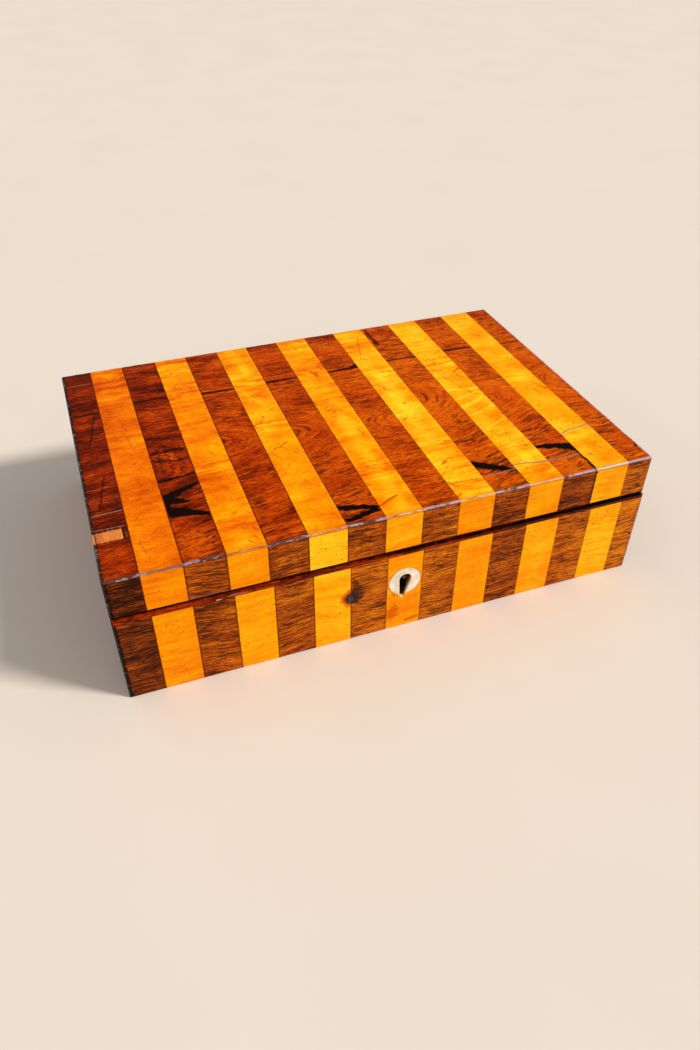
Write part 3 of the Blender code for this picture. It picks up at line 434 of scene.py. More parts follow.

# %% [markdown]
# ## The woods
#
# The stripes are rosewood and satinwood under old French polish. Rosewood is a red brown crossed by near
# black lines. Satinwood is golden, with hardly any lines but with bright ripples across its silky surface.
# Mahogany makes the boards inside and pine the flat boards. Each wood is a palette with the strength of its
# lines, bands, ripples and pores, and one function turns a palette into a material. It can give each strip
# of a row a tone of its own, paint a piece's own marks and wear the arrises of a box, with a painted
# highlight on the worn arrises.

# %% Palettes
# The stops are a place in the ramp and a colour. The lines, pores and specks are a colour and a strength.
# The spacing of the rings and the warp of the grain are in millimetres.
woods = {
    "rosewood": {
        "stops": ((0.14, 28, 7, 3), (0.34, 108, 24, 1), (0.52, 183, 54, 1), (0.84, 242, 109, 3)),
        "amounts": {"Fine": 0.56, "Bands": 0.36, "Cloud": 0.50, "Fibre": 0.64},
        "spacing": 1.15, "squeeze": 1.9, "stretch": 13.0, "warp": 1.8, "lean": 0.07, "rough": (0.22, 0.42),
        "lines": (52, 12, 2, 0.88), "pores": (40, 9, 3, 0.85), "specks": (40, 10, 3, 0.60),
        "scratch": 0.50,
    },
    # The front palettes are lighter than those of the top: painted light, because the lamp lights the front
    # less than the top.
    "front rosewood": {
        "stops": ((0.14, 36, 14, 7), (0.34, 122, 50, 10), (0.50, 184, 80, 10), (0.84, 240, 136, 18)),
        "amounts": {"Fine": 0.80, "Bands": 0.45, "Cloud": 0.50, "Fibre": 0.80},
        "spacing": 0.85, "squeeze": 16.0, "stretch": 20.0, "warp": 1.3, "lean": 0.0, "rough": (0.25, 0.45),
        "lines": (40, 16, 8, 0.90), "pores": (30, 12, 7, 0.80), "specks": (40, 16, 8, 0.50),
        "scratch": 0.30,
    },
    "side rosewood": {
        "stops": ((0.14, 30, 11, 6), (0.34, 94, 36, 10), (0.52, 146, 60, 14), (0.84, 206, 106, 30)),
        "amounts": {"Fine": 0.46, "Bands": 0.72, "Cloud": 0.40, "Fibre": 0.36},
        "spacing": 1.6, "squeeze": 8.0, "stretch": 36.0, "warp": 2.4, "lean": 0.0, "rough": (0.26, 0.46),
        "lines": (34, 12, 6, 0.85), "pores": (28, 10, 6, 0.60), "specks": (36, 14, 8, 0.40),
        "scratch": 0.30,
    },
    "satinwood": {
        "stops": ((0.14, 200, 66, 1), (0.38, 244, 122, 1), (0.56, 253, 162, 2), (0.88, 255, 214, 34)),
        "amounts": {"Fine": 0.20, "Bands": 0.36, "Cloud": 0.80, "Fibre": 0.45, "Ripple": 0.50},
        "spacing": 1.6, "squeeze": 9.0, "stretch": 16.0, "warp": 2.0, "lean": 0.0, "rough": (0.22, 0.40),
        "lines": (206, 92, 2, 0.20), "pores": (196, 70, 2, 0.46), "specks": (168, 48, 2, 0.85),
        "scratch": 0.75,
    },
    "front satinwood": {
        "stops": ((0.14, 212, 82, 1), (0.38, 252, 136, 1), (0.58, 255, 172, 3), (0.88, 255, 214, 34)),
        "amounts": {"Fine": 0.30, "Bands": 0.30, "Cloud": 0.50, "Fibre": 0.45, "Ripple": 0.30},
        "spacing": 1.2, "squeeze": 14.0, "stretch": 25.0, "warp": 1.2, "lean": 0.0, "rough": (0.24, 0.42),
        "lines": (226, 116, 2, 0.25), "pores": (204, 88, 2, 0.35), "specks": (196, 66, 2, 0.60),
        "scratch": 0.12,
    },
    "mahogany": {
        "stops": ((0.25, 84, 36, 18), (0.45, 126, 60, 30), (0.62, 152, 78, 40), (0.82, 176, 98, 54)),
        "amounts": {"Fine": 0.50, "Bands": 0.50, "Cloud": 0.40, "Fibre": 0.40, "Ripple": 0.15},
        "spacing": 1.3, "squeeze": 12.0, "stretch": 22.0, "warp": 2.0, "lean": 0.0, "rough": (0.42, 0.62),
        "lines": (84, 38, 20, 0.35), "pores": (52, 22, 12, 0.80), "specks": (52, 22, 12, 0.30),
        "scratch": 0.20,
    },
    "pine": {
        "stops": ((0.25, 160, 78, 32), (0.45, 212, 116, 52), (0.62, 230, 138, 68), (0.82, 244, 170, 98)),
        "amounts": {"Fine": 0.30, "Bands": 0.80, "Cloud": 0.30, "Fibre": 0.60},
        "spacing": 2.2, "squeeze": 14.0, "stretch": 25.0, "warp": 2.6, "lean": 0.0, "rough": (0.65, 0.85),
        "lines": (176, 104, 52, 0.40), "pores": (150, 88, 48, 0.30), "specks": (150, 88, 48, 0.30),
        "scratch": 0.25,
    },
}
wood_gloss = 0.04
polish_tint = (1.0, 0.80, 0.55, 1.0)
grain_axes = {"top": "XY", "front": "XZ", "side": "YZ", "rim": "XZY", "along x": "XYZ", "along y": "YXZ"}
print("palettes:", ", ".join(woods))

# %% Kinds of mark
# A mark has a colour, a strength, a softness in mm and a spread, by which its strokes are wider than written.
marks_of_age = {
    "figure": ((18, 6, 3), 1.0, 0.7, 1.0), "joint": ((30, 9, 4), 0.96, 1.1, 0.9),
    "burn": ((44, 40, 38), 0.96, 2.2, 0.0), "ash": ((84, 88, 86), 0.75, 1.2, 0.0),
    "crack": ((142, 116, 106), 0.88, 0.5, 0.3), "faint": ((150, 92, 84), 0.45, 0.4, 0.2),
    "hatch": ((30, 9, 4), 0.84, 0.6, 0.9), "dirt": ((170, 74, 8), 0.75, 0.6, 0.2),
    "white": ((236, 214, 176), 0.9, 0.4, 0.2), "patch edge": ((186, 104, 76), 0.7, 0.5, 0.2),
    "scratch": ((182, 66, 2), 0.58, 0.5, 0.3), "chip": ((232, 142, 76), 0.95, 0.4, 0.0),
    "stain": ((214, 92, 2), 0.80, 2.4, 0.0), "halo": ((228, 74, 1), 0.85, 2.6, 0.0),
    "mended": ((92, 24, 8), 0.55, 0.4, 0.0), "shadow": ((60, 24, 14), 0.80, 2.6, 0.0),
    "edge line": ((124, 96, 102), 0.75, 0.3, 0.0),
}
# A tone moves the place in the palette by a shift, with a softness in mm.
# The first tone is a painted sheen: soft lighter bands where the satinwood catches the light.
tones_of_age = {"glow": (0.13, 6.0), "ripple": (0.20, 1.4), "sunned": (0.11, 14.0), "dusk": (-0.15, 8.0)}
cut_into_polish = ("crack", "white", "joint")
joint_width = 0.44 * MM
print("kinds of mark:", len(marks_of_age) + len(tones_of_age))


# %% Painting marks
def chain_mask(graph, flat, wobble, points, softness, spread=0.0):
    """A mask for a chain of strokes through points, each with its two places and its width in mm."""
    mask = 0.0
    for start, end in zip(points, points[1:]):
        stroke = graph.use(
            "stroke", Place=flat, Start=(start[0] * MM, start[1] * MM, 0), End=(end[0] * MM, end[1] * MM, 0),
            Start_Width=(start[2] + spread) * MM, End_Width=(end[2] + spread) * MM, Wobble=wobble * MM,
            Softness=softness * MM)
        mask = graph.math("MAXIMUM", mask, stroke["Mask"])
    return mask


def shift_tones(graph, depth, flat, marks):
    """Move the place in the palette up or down where the light or the sun has changed the wood."""
    for kind, wobble, *chains in marks:
        if kind in tones_of_age:
            shift, softness = tones_of_age[kind]
            for points in chains:
                depth = depth + chain_mask(graph, flat, wobble, points, softness) * shift
    return depth


def add_marks(graph, colour, flat, marks):
    """Paint the chains of each mark. Returns the colour and a mask of what cuts into the polish."""
    cut = 0.0
    for kind, wobble, *chains in marks:
        if kind in tones_of_age:
            continue
        mark_colour, strength, softness, spread = marks_of_age[kind]
        for points in chains:
            mask = chain_mask(graph, flat, wobble, points, softness, spread)
            colour = graph.mix(mask * strength, colour, srgb(*mark_colour))
            if kind in cut_into_polish:
                cut = graph.math("MAXIMUM", cut, mask)
    return colour, cut


def darken_joints(graph, colour, place, first_joint, pitch, taper):
    """Dark glue and dirt in the joints of a row, narrower and fainter towards +X."""
    along = graph.split(place)[0]
    turns = (along - first_joint) / pitch
    away = graph.math("ABSOLUTE", turns - graph.math("ROUND", turns)) * pitch
    away = away + (graph.noise(place, 700.0) - 0.5) * (0.5 * MM)
    half_width = along * -taper + joint_width / 2
    dark = away.step(half_width + 0.15 * MM, half_width - 0.12 * MM)
    dark = dark * along.step(-60 * MM, 120 * MM).scaled(0.92, 0.42)
    return graph.mix(dark, colour, srgb(86, 22, 3))


def strip_values(graph, place, first_joint, pitch, tones):
    """The tone, the tilt and the seed of each strip of a row."""
    number = graph.math("FLOOR", (graph.split(place)[0] - first_joint) / pitch)
    luck = graph.out("ShaderNodeTexWhiteNoise", {"W": number}, noise_dimensions="1D")
    stops = [(index / len(tones), (tone, tone, tone, 1.0)) for index, tone in enumerate(tones)]
    tone = graph.ramp((number + 1.5) / len(tones), stops, "CONSTANT")
    return tone, luck.scaled(-0.14, 0.14), luck * 60.0


print("marks ready")


# %% Wearing the arrises and painting their highlight
def wear_and_highlight(graph, colour, place, arris_box, arris_wear_and_highlight_colours, dirt, wear_and_highlight_strength, wear_and_highlight_width):
    """Grime near the arrises of a box, a blush where the polish is thin, and worn and chipped arrises. On the
    worn band the upper half of the rounding is painted light, a painted highlight that grows towards +X, and
    the lower half stays dark.

    Returns the colour and a mask of what is worn."""
    along, _, height = graph.split(place)
    edge = graph.use("edge distance", Place=place, Low=arris_box[0], High=arris_box[1])["Distance"]
    patchy = graph.noise(place, 320.0, 3.0) - 0.5
    grime = (patchy * (7.0 * MM) + edge).step(4.5 * MM, 0.5 * MM)
    colour = graph.mix(grime * 0.30, colour, dirt)
    rubbed = patchy * (0.9 * MM) + edge
    worn = rubbed.step(1.25 * MM * wear_and_highlight_width, 0.70 * MM * wear_and_highlight_width)
    frayed = graph.noise(graph.vector("MULTIPLY", place, (130.0, 420.0, 420.0)), 1.0, 4.0, 0.7)
    lightness = (along * 0.8 + frayed).step(0.40, 0.60)
    blush = rubbed.step(1.9 * MM, 1.2 * MM) * lightness
    colour = graph.mix(blush * (0.30 * wear_and_highlight_strength), colour, srgb(226, 112, 66))
    # Painted highlight: the upper half of the worn rounding takes the light colour of its pair, more so
    # towards +X, and the lower half keeps the dark one.
    highlit_upper_half = height.step(arris_box[1].z - 0.95 * MM, arris_box[1].z - 0.45 * MM)
    arris_wear_and_highlight = graph.mix(lightness * highlit_upper_half.scaled(0.20, 1.0), *arris_wear_and_highlight_colours)
    grains = graph.vector("MULTIPLY", place, (420.0, 700.0, 700.0))
    chips = graph.noise(grains, 1.0, 1.0).step(0.70, 0.74)
    arris_wear_and_highlight = graph.mix(chips * 0.5, arris_wear_and_highlight, srgb(236, 222, 204))
    return graph.mix(worn * wear_and_highlight_strength, colour, arris_wear_and_highlight), worn


print("worn arrises ready")


# %% Wood material
def wood_finish(name, wood, grain, arris_box, arris_wear_and_highlight_colours, eye=(0.0, 0.0, 0.0), seed=0.0, shade=0.0,
                marks=(), row=None, joints=None, wear_and_highlight_strength=0.84, wear_and_highlight_width=1.0, sun=0.0, marks_front=None):
    """A wood material. eye is the centre of the figure in mm, and arris_box is worn along its arrises, with a
    painted highlight on them. shade moves the palette, below zero to its darker end, and a painted light
    slope makes it lighter by so much for each metre of X, darker where the slope is below zero.
    row gives each strip its own tone and figure, and joints the first joint, the pitch and the taper.
    marks_front is the Y of the face that carries the marks, where they aren't to run through the piece."""
    recipe = woods[wood]
    stops = [(stop[0], srgb(*stop[1:])) for stop in recipe["stops"]]
    darkest = stops[0][1]
    material, graph, place = new_material(name)
    parts = dict(zip("XYZ", graph.split(place)))
    flat = graph.join(*[parts[axis] for axis in grain_axes[grain]])
    marked = flat
    if marks_front is not None:
        behind = graph.math("MAXIMUM", parts["Y"] - marks_front, 0.0)
        marked = graph.vector("ADD", flat, graph.join(0.0, behind * 40.0))
    tone, tilt = 0.5, 0.0
    if row:
        tone, tilt, seed = strip_values(graph, place, *row)
    depth = tone + shade
    if sun:
        depth = depth + parts["X"] * sun
    lines = graph.use("wood lines", Place=flat, Eye=tuple(side * MM for side in eye),
                      Squeeze=recipe["squeeze"], Stretch=recipe["stretch"], Spacing=recipe["spacing"] * MM,
                      Warp=recipe["warp"] * MM, Lean=recipe["lean"], Tilt=tilt, Seed=seed)
    for pattern, amount in recipe["amounts"].items():
        depth = depth + (lines[pattern] - 0.5) * amount
    colour = graph.ramp(shift_tones(graph, depth, marked, marks), stops)
    for pattern in ("Lines", "Pores", "Specks"):
        *dark, strength = recipe[pattern.lower()]
        colour = graph.mix(lines[pattern] * strength, colour, srgb(*dark))
    scratched = graph.math("MAXIMUM", graph.use("scratches", Place=flat, Angle=1.1, Amount=0.46)["Mask"],
                           graph.use("scratches", Place=flat, Angle=-0.5, Amount=0.42, Seed=2.0)["Mask"])
    colour = graph.mix(scratched * recipe["scratch"], colour, darkest)
    colour, cut = add_marks(graph, colour, marked, marks)
    if joints:
        colour = darken_joints(graph, colour, place, *joints)
    colour, worn = wear_and_highlight(graph, colour, place, arris_box, arris_wear_and_highlight_colours, darkest, wear_and_highlight_strength, wear_and_highlight_width)
    smear = graph.noise(place, 60.0, 4.0, 0.6)
    height = lines["Pores"] * -0.25 + smear * 0.5 + scratched * -0.3 - cut
    graph.shade(Base_Color=colour, Roughness=worn * 0.15 + smear.scaled(*recipe["rough"]),
                Specular_IOR_Level=wood_gloss, Specular_Tint=polish_tint,
                Normal=graph.bump(0.5, 0.08 * MM, height))
    return material


print("wood finish ready")

# %% [markdown]
# ## Brass, iron, bone, leather and glass
#
# Old brass is dull where nobody touches it: a brown film lies over the metal and only the edges shine. Iron
# in a lock has a darker, rougher film. Bone is cream coloured, with fine darker canals that run one way.
# The writing leather is a thin green sheepskin with a pebbled grain, paler where hands have rubbed it.

# %% Metals
def metal_finish(name, bright, film, film_share, rough):
    """Metal under a patchy film of age."""
    material, graph, place = new_material(name)
    specks = graph.noise(place, 1500.0).step(0.62, 0.72)
    filmed = graph.noise(place, 180.0, 4.0, 0.65).step(0.88 - film_share, 1.12 - film_share)
    filmed = graph.math("MAXIMUM", filmed, specks * 0.6)
    strokes = graph.vector("MULTIPLY", place, (120.0, 2600.0, 2600.0))
    height = specks * -0.6 + graph.noise(strokes)
    graph.shade(Base_Color=graph.mix(filmed, srgb(*bright), srgb(*film)), Roughness=filmed * 0.22 + rough,
                Metallic=filmed * -0.25 + 1.0, Normal=graph.bump(0.35, 0.03 * MM, height))
    return material


brass = metal_finish("old_brass", (206, 166, 92), (120, 82, 40), film_share=0.42, rough=0.28)
bright_brass = metal_finish("rubbed_brass", (222, 184, 108), (150, 108, 56), film_share=0.30, rough=0.22)
iron = metal_finish("old_iron", (120, 116, 110), (62, 50, 42), film_share=0.50, rough=0.40)
gold_leaf = metal_finish("gilding", (224, 178, 88), (70, 72, 40), film_share=0.34, rough=0.30)
print("metals made")

# %% Place and shape of the keyhole
disc_low, disc_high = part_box("escutcheon")
disc_centre = (disc_low + disc_high) / 2
disc_radius = (disc_high.x - disc_low.x) / 2
keyhole_head = Vector((disc_centre.x + 0.3 * MM, disc_centre.z + 1.6 * MM))
keyhole_foot = Vector((disc_centre.x - 1.1 * MM, disc_centre.z - 9.1 * MM))
head_radius = 3.5 * MM
foot_radius = 1.6 * MM
print("escutcheon in mm:", round(2 * disc_radius / MM, 2))


# %% Bone, leather and glass
def bone_finish():
    """Cream bone, warmer where the key has worn it and where dirt sits in the joint round it."""
    material, graph, place = new_material("bone")
    worn_margin = 2.2 * MM
    x, y, z = graph.split(place)
    canal = graph.noise(graph.join(x * 2400.0, y, z * 260.0)).step(0.60, 0.74)
    cloud = graph.noise(place, 170.0, 3.0)
    creams = ((0.30, srgb(222, 206, 178)), (0.46, srgb(238, 228, 208)), (0.62, srgb(250, 244, 232)))
    colour = graph.mix(canal * 0.35, graph.ramp(cloud, creams), srgb(206, 166, 116))
    flat = graph.join(x, z)
    worn = graph.use("stroke", Place=flat, Start=(*keyhole_head, 0.0), End=(*keyhole_foot, 0.0),
                     Start_Width=2 * head_radius + worn_margin, End_Width=2 * foot_radius + worn_margin,
                     Wobble=0.3 * MM, Softness=1.6 * MM)["Mask"]
    right_side = x.step(disc_centre.x - 1.0 * MM, disc_centre.x + 3.0 * MM)
    colour = graph.mix(worn * right_side.scaled(0.15, 0.85), colour, srgb(252, 190, 62))
    from_centre = graph.vector("DISTANCE", flat, (disc_centre.x, disc_centre.z, 0.0))
    rim = from_centre.step(disc_radius - 0.9 * MM, disc_radius)
    colour = graph.mix(rim * 0.6, colour, srgb(240, 176, 88))
    graph.shade(Base_Color=colour, Roughness=cloud.scaled(0.28, 0.48), Subsurface_Weight=0.12,
                Subsurface_Radius=(2.0 * MM, 1.4 * MM, 0.9 * MM), Subsurface_Scale=1.0,
                Normal=graph.bump(0.4, 0.04 * MM, canal * -1.0))
    return material


def leather_finish():
    """Green skiver: pebbles from cell distances, creases between them and paler rubbed ground."""
    material, graph, place = new_material("green_skiver")
    cells = graph.out("ShaderNodeTexVoronoi", {"Vector": place, "Scale": 1300.0}, "Distance", feature="F1")
    pebble = cells * -0.8 + graph.noise(place, 480.0, 3.0, 0.6)
    rubbed = graph.noise(place, 16.0, 5.0, 0.65).step(0.42, 0.80)
    blots = graph.noise(place, 46.0, 2.0, 0.7).step(0.70, 0.74)
    colour = graph.mix(rubbed, srgb(24, 62, 42), srgb(60, 92, 62))
    colour = graph.mix(pebble.step(0.20, -0.15), colour, srgb(12, 30, 22))
    colour = graph.mix(blots * 0.45, colour, srgb(14, 22, 24))
    graph.shade(Base_Color=colour, Roughness=rubbed * -0.12 + 0.58, Normal=graph.bump(0.7, 0.12 * MM, pebble))
    return material


def glass_finish():
    """Clear pressed glass, a little green, with the slight waves of the mould."""
    material, graph, place = new_material("bottle_glass")
    waves = graph.noise(place, 110.0)
    graph.shade(Base_Color=graph.mix(waves, srgb(226, 240, 232), srgb(238, 248, 243)),
                Transmission_Weight=1.0, IOR=1.5, Roughness=waves.scaled(0.01, 0.06),
                Normal=graph.bump(0.3, 0.2 * MM, waves))
    return material


bone = bone_finish()
leather = leather_finish()
glass = glass_finish()
print("materials so far:", len(bpy.data.materials))

# %% [markdown]
# ## Helpers for pieces
#
# The desk's maker eased every arris with a scraper. A solid copied from the frame gets the same: its loose
# triangles are merged, its flat faces joined, and a narrow bevel runs along its sharp edges, so that each
# edge catches a line of light. The new piece then takes over the node's body and place, and the node is
# hidden.

# %% New pieces
same_spot = 0.002 * MM
bodies = frame["record"]["behaviour"]["bodies"]
body_of_node = {node: body for body, nodes in bodies.items() for node in nodes}
slot_of_node = {entry["node"]: entry["material_slot"] for entry in frame["record"]["subparts"]}


def add_mesh_piece(name, mesh, material):
    """A new object at the origin, smooth across its blunt edges."""
    piece = bpy.data.objects.new(name, mesh)
    bpy.context.scene.collection.objects.link(piece)
    mesh.materials.clear()
    mesh.materials.append(material)
    mesh.shade_smooth()
    mesh.set_sharp_from_angle(angle=math.radians(35))
    return piece


def mesh_from(bm, name):
    mesh = bpy.data.meshes.new(name)
    bm.to_mesh(mesh)
    bm.free()
    return mesh


def add_piece(name, bm, material):
    return add_mesh_piece(name, mesh_from(bm, name), material)


def evaluated_mesh(host):
    """What the modifiers of an object make, as a plain mesh."""
    depsgraph = bpy.context.evaluated_depsgraph_get()
    return bpy.data.meshes.new_from_object(host.evaluated_get(depsgraph), depsgraph=depsgraph)


def freeze(piece):
    """Turn a piece with modifiers into a plain mesh."""
    mesh = evaluated_mesh(piece)
    piece.modifiers.clear()
    piece.data = mesh
    return piece


print("bodies:", ", ".join(bodies))


# %% Easing, cutting and dressing
def ease_edges(piece, width, segments=2):
    bevel = piece.modifiers.new("eased edges", "BEVEL")
    bevel.width = width
    bevel.segments = segments
    bevel.limit_method = "ANGLE"
    bevel.angle_limit = math.radians(30)
    bevel.harden_normals = True
    return freeze(piece)


def ride_with(piece, node):
    """A piece rides on the node's body."""
    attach(piece, body_of_node[node])
    return piece


def dress(piece, node):
    """A finished piece rides with the node that it stands for, and hides it."""
    ride_with(piece, node)
    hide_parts(node)
    return piece


def solid_between(first_ring, second_ring):
    """A closed solid between two rings of as many points."""
    bm = bmesh.new()
    rings = [[bm.verts.new(point) for point in ring] for ring in (first_ring, second_ring)]
    bm.faces.new(rings[0])
    bm.faces.new(rings[1])
    for index in range(len(rings[0])):
        after = (index + 1) % len(rings[0])
        bm.faces.new((rings[0][index], rings[0][after], rings[1][after], rings[1][index]))
    bmesh.ops.recalc_face_normals(bm, faces=bm.faces)
    return bm


def cut_away(piece, bm):
    """Cut a closed solid out of a piece."""
    cutter = bpy.data.objects.new("cutter", mesh_from(bm, "cutter"))
    bpy.context.scene.collection.objects.link(cutter)
    modifier = piece.modifiers.new("cut", "BOOLEAN")
    modifier.operation = "DIFFERENCE"
    modifier.object = cutter
    freeze(piece)
    bpy.data.objects.remove(cutter)


def fine_copy(node, ease, material, segments=2, hole=None, reshape=None):
    """A node's solid, its triangles merged and its edges eased, reshaped or cut if asked for."""
    bm = bmesh.new()
    bm.from_mesh(frame["nodes"][node].data)
    bmesh.ops.remove_doubles(bm, verts=bm.verts, dist=same_spot)
    bmesh.ops.dissolve_limit(bm, angle_limit=math.radians(0.5), verts=bm.verts, edges=bm.edges)
    if reshape:
        reshape(bm)
    piece = add_piece(f"{node}_fine", bm, material)
    if hole:
        cut_away(piece, hole)
    return dress(ease_edges(piece, ease, segments), node)


print("slots:", ", ".join(sorted(set(slot_of_node.values()))))

# %% [markdown]
# ## The top: fifteen strips of veneer
#
# Each strip is a sheet 1.2 mm thick. Seen closely its outer arris isn't straight: two centuries of sleeves
# and knocks have worn it round, more at some places than at others. A box of fine quads can carry that. A
# vertex that lies outside the rounded form is pulled back onto it: from the nearest point of a smaller box
# inside, it may be no further away than the radius, and the radius follows a noise.

# %% Worn boxes
def places(low, high, fine, coarse, margin):
    """Places from low to high, closely spaced within a margin of both ends."""
    ends = max(1, round(margin / fine))
    middle = max(1, round((high - low - 2 * margin) / coarse))
    spots = [low + margin * index / ends for index in range(ends)]
    spots += [low + margin + (high - low - 2 * margin) * index / middle for index in range(middle + 1)]
    spots += [high - margin * index / ends for index in reversed(range(ends))]
    return spots


def box_shell(xs, ys, zs, lost=None):
    """A closed box whose sides are grids through the given places. lost(x, y) says where it is broken off."""
    bm = bmesh.new()
    found = {}
    top = len(zs) - 1
    whole = [(i, j) for i in range(len(xs) - 1) for j in range(len(ys) - 1)]
    kept = {(i, j) for i, j in whole if not (lost and lost((xs[i] + xs[i + 1]) / 2, (ys[j] + ys[j + 1]) / 2))}

    def corner(i, j, k):
        if (i, j, k) not in found:
            found[i, j, k] = bm.verts.new((xs[i], ys[j], zs[k]))
        return found[i, j, k]

    for i, j in whole:
        if (i, j) not in kept:
            continue
        ring = [(i, j), (i + 1, j), (i + 1, j + 1), (i, j + 1)]
        bm.faces.new([corner(*spot, top) for spot in ring])
        bm.faces.new([corner(*spot, 0) for spot in reversed(ring)])
        beside = [(i, j - 1), (i + 1, j), (i, j + 1), (i - 1, j)]
        for first, second, neighbour in zip(ring, ring[1:] + ring[:1], beside):
            if neighbour in kept:
                continue
            for k in range(top):
                quad = (corner(*first, k), corner(*second, k), corner(*second, k + 1), corner(*first, k + 1))
                bm.faces.new(quad)
    return bm


def wear_arrises(bm, low, high, radius, patchiness):
    """Pull what stands proud of a rounded box back onto it. The radius varies by the patchiness,
    in broad and small patches, of so many to the metre."""
    broad, small = 210.0, 900.0
    for vert in bm.verts:
        here = vert.co
        patch = noise.noise(here * broad) + noise.noise(here * small) / 2
        local = radius + patchiness * patch
        core = Vector([min(max(here[axis], low[axis] + local), high[axis] - local) for axis in range(3)])
        away = here - core
        if away.length > local:
            vert.co = core + away.normalized() * local


print("places of a short row in mm:", places(0, 10, 1, 3, 2))

# %% Sizes of the top
below_everything = -1.0
beyond_everything = 1.0
top_boxes = [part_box(f"top_strip_{number:02d}") for number in range(1, 16)]
lid_top_low, lid_top_high = top_boxes[0][0].copy(), top_boxes[14][1].copy()
arris_low = Vector((lid_top_low.x, lid_top_low.y, below_everything))
arris_high = lid_top_high.copy()
strip_gap = top_boxes[1][0].x - top_boxes[0][1].x
strip_pitch = top_boxes[2][0].x - top_boxes[1][0].x
first_joint = top_boxes[0][1].x + strip_gap / 2
joint_filling = strip_gap / 2 - 0.01 * MM
chip_low, chip_high = Vector((-150.0, -71.6, 0.0)) * MM, Vector((-134.0, -62.0, 0.0)) * MM
print("top in mm:", [round(side / MM, 1) for side in lid_top_high - lid_top_low])
print("pitch of the strips in mm:", round(strip_pitch / MM, 2))

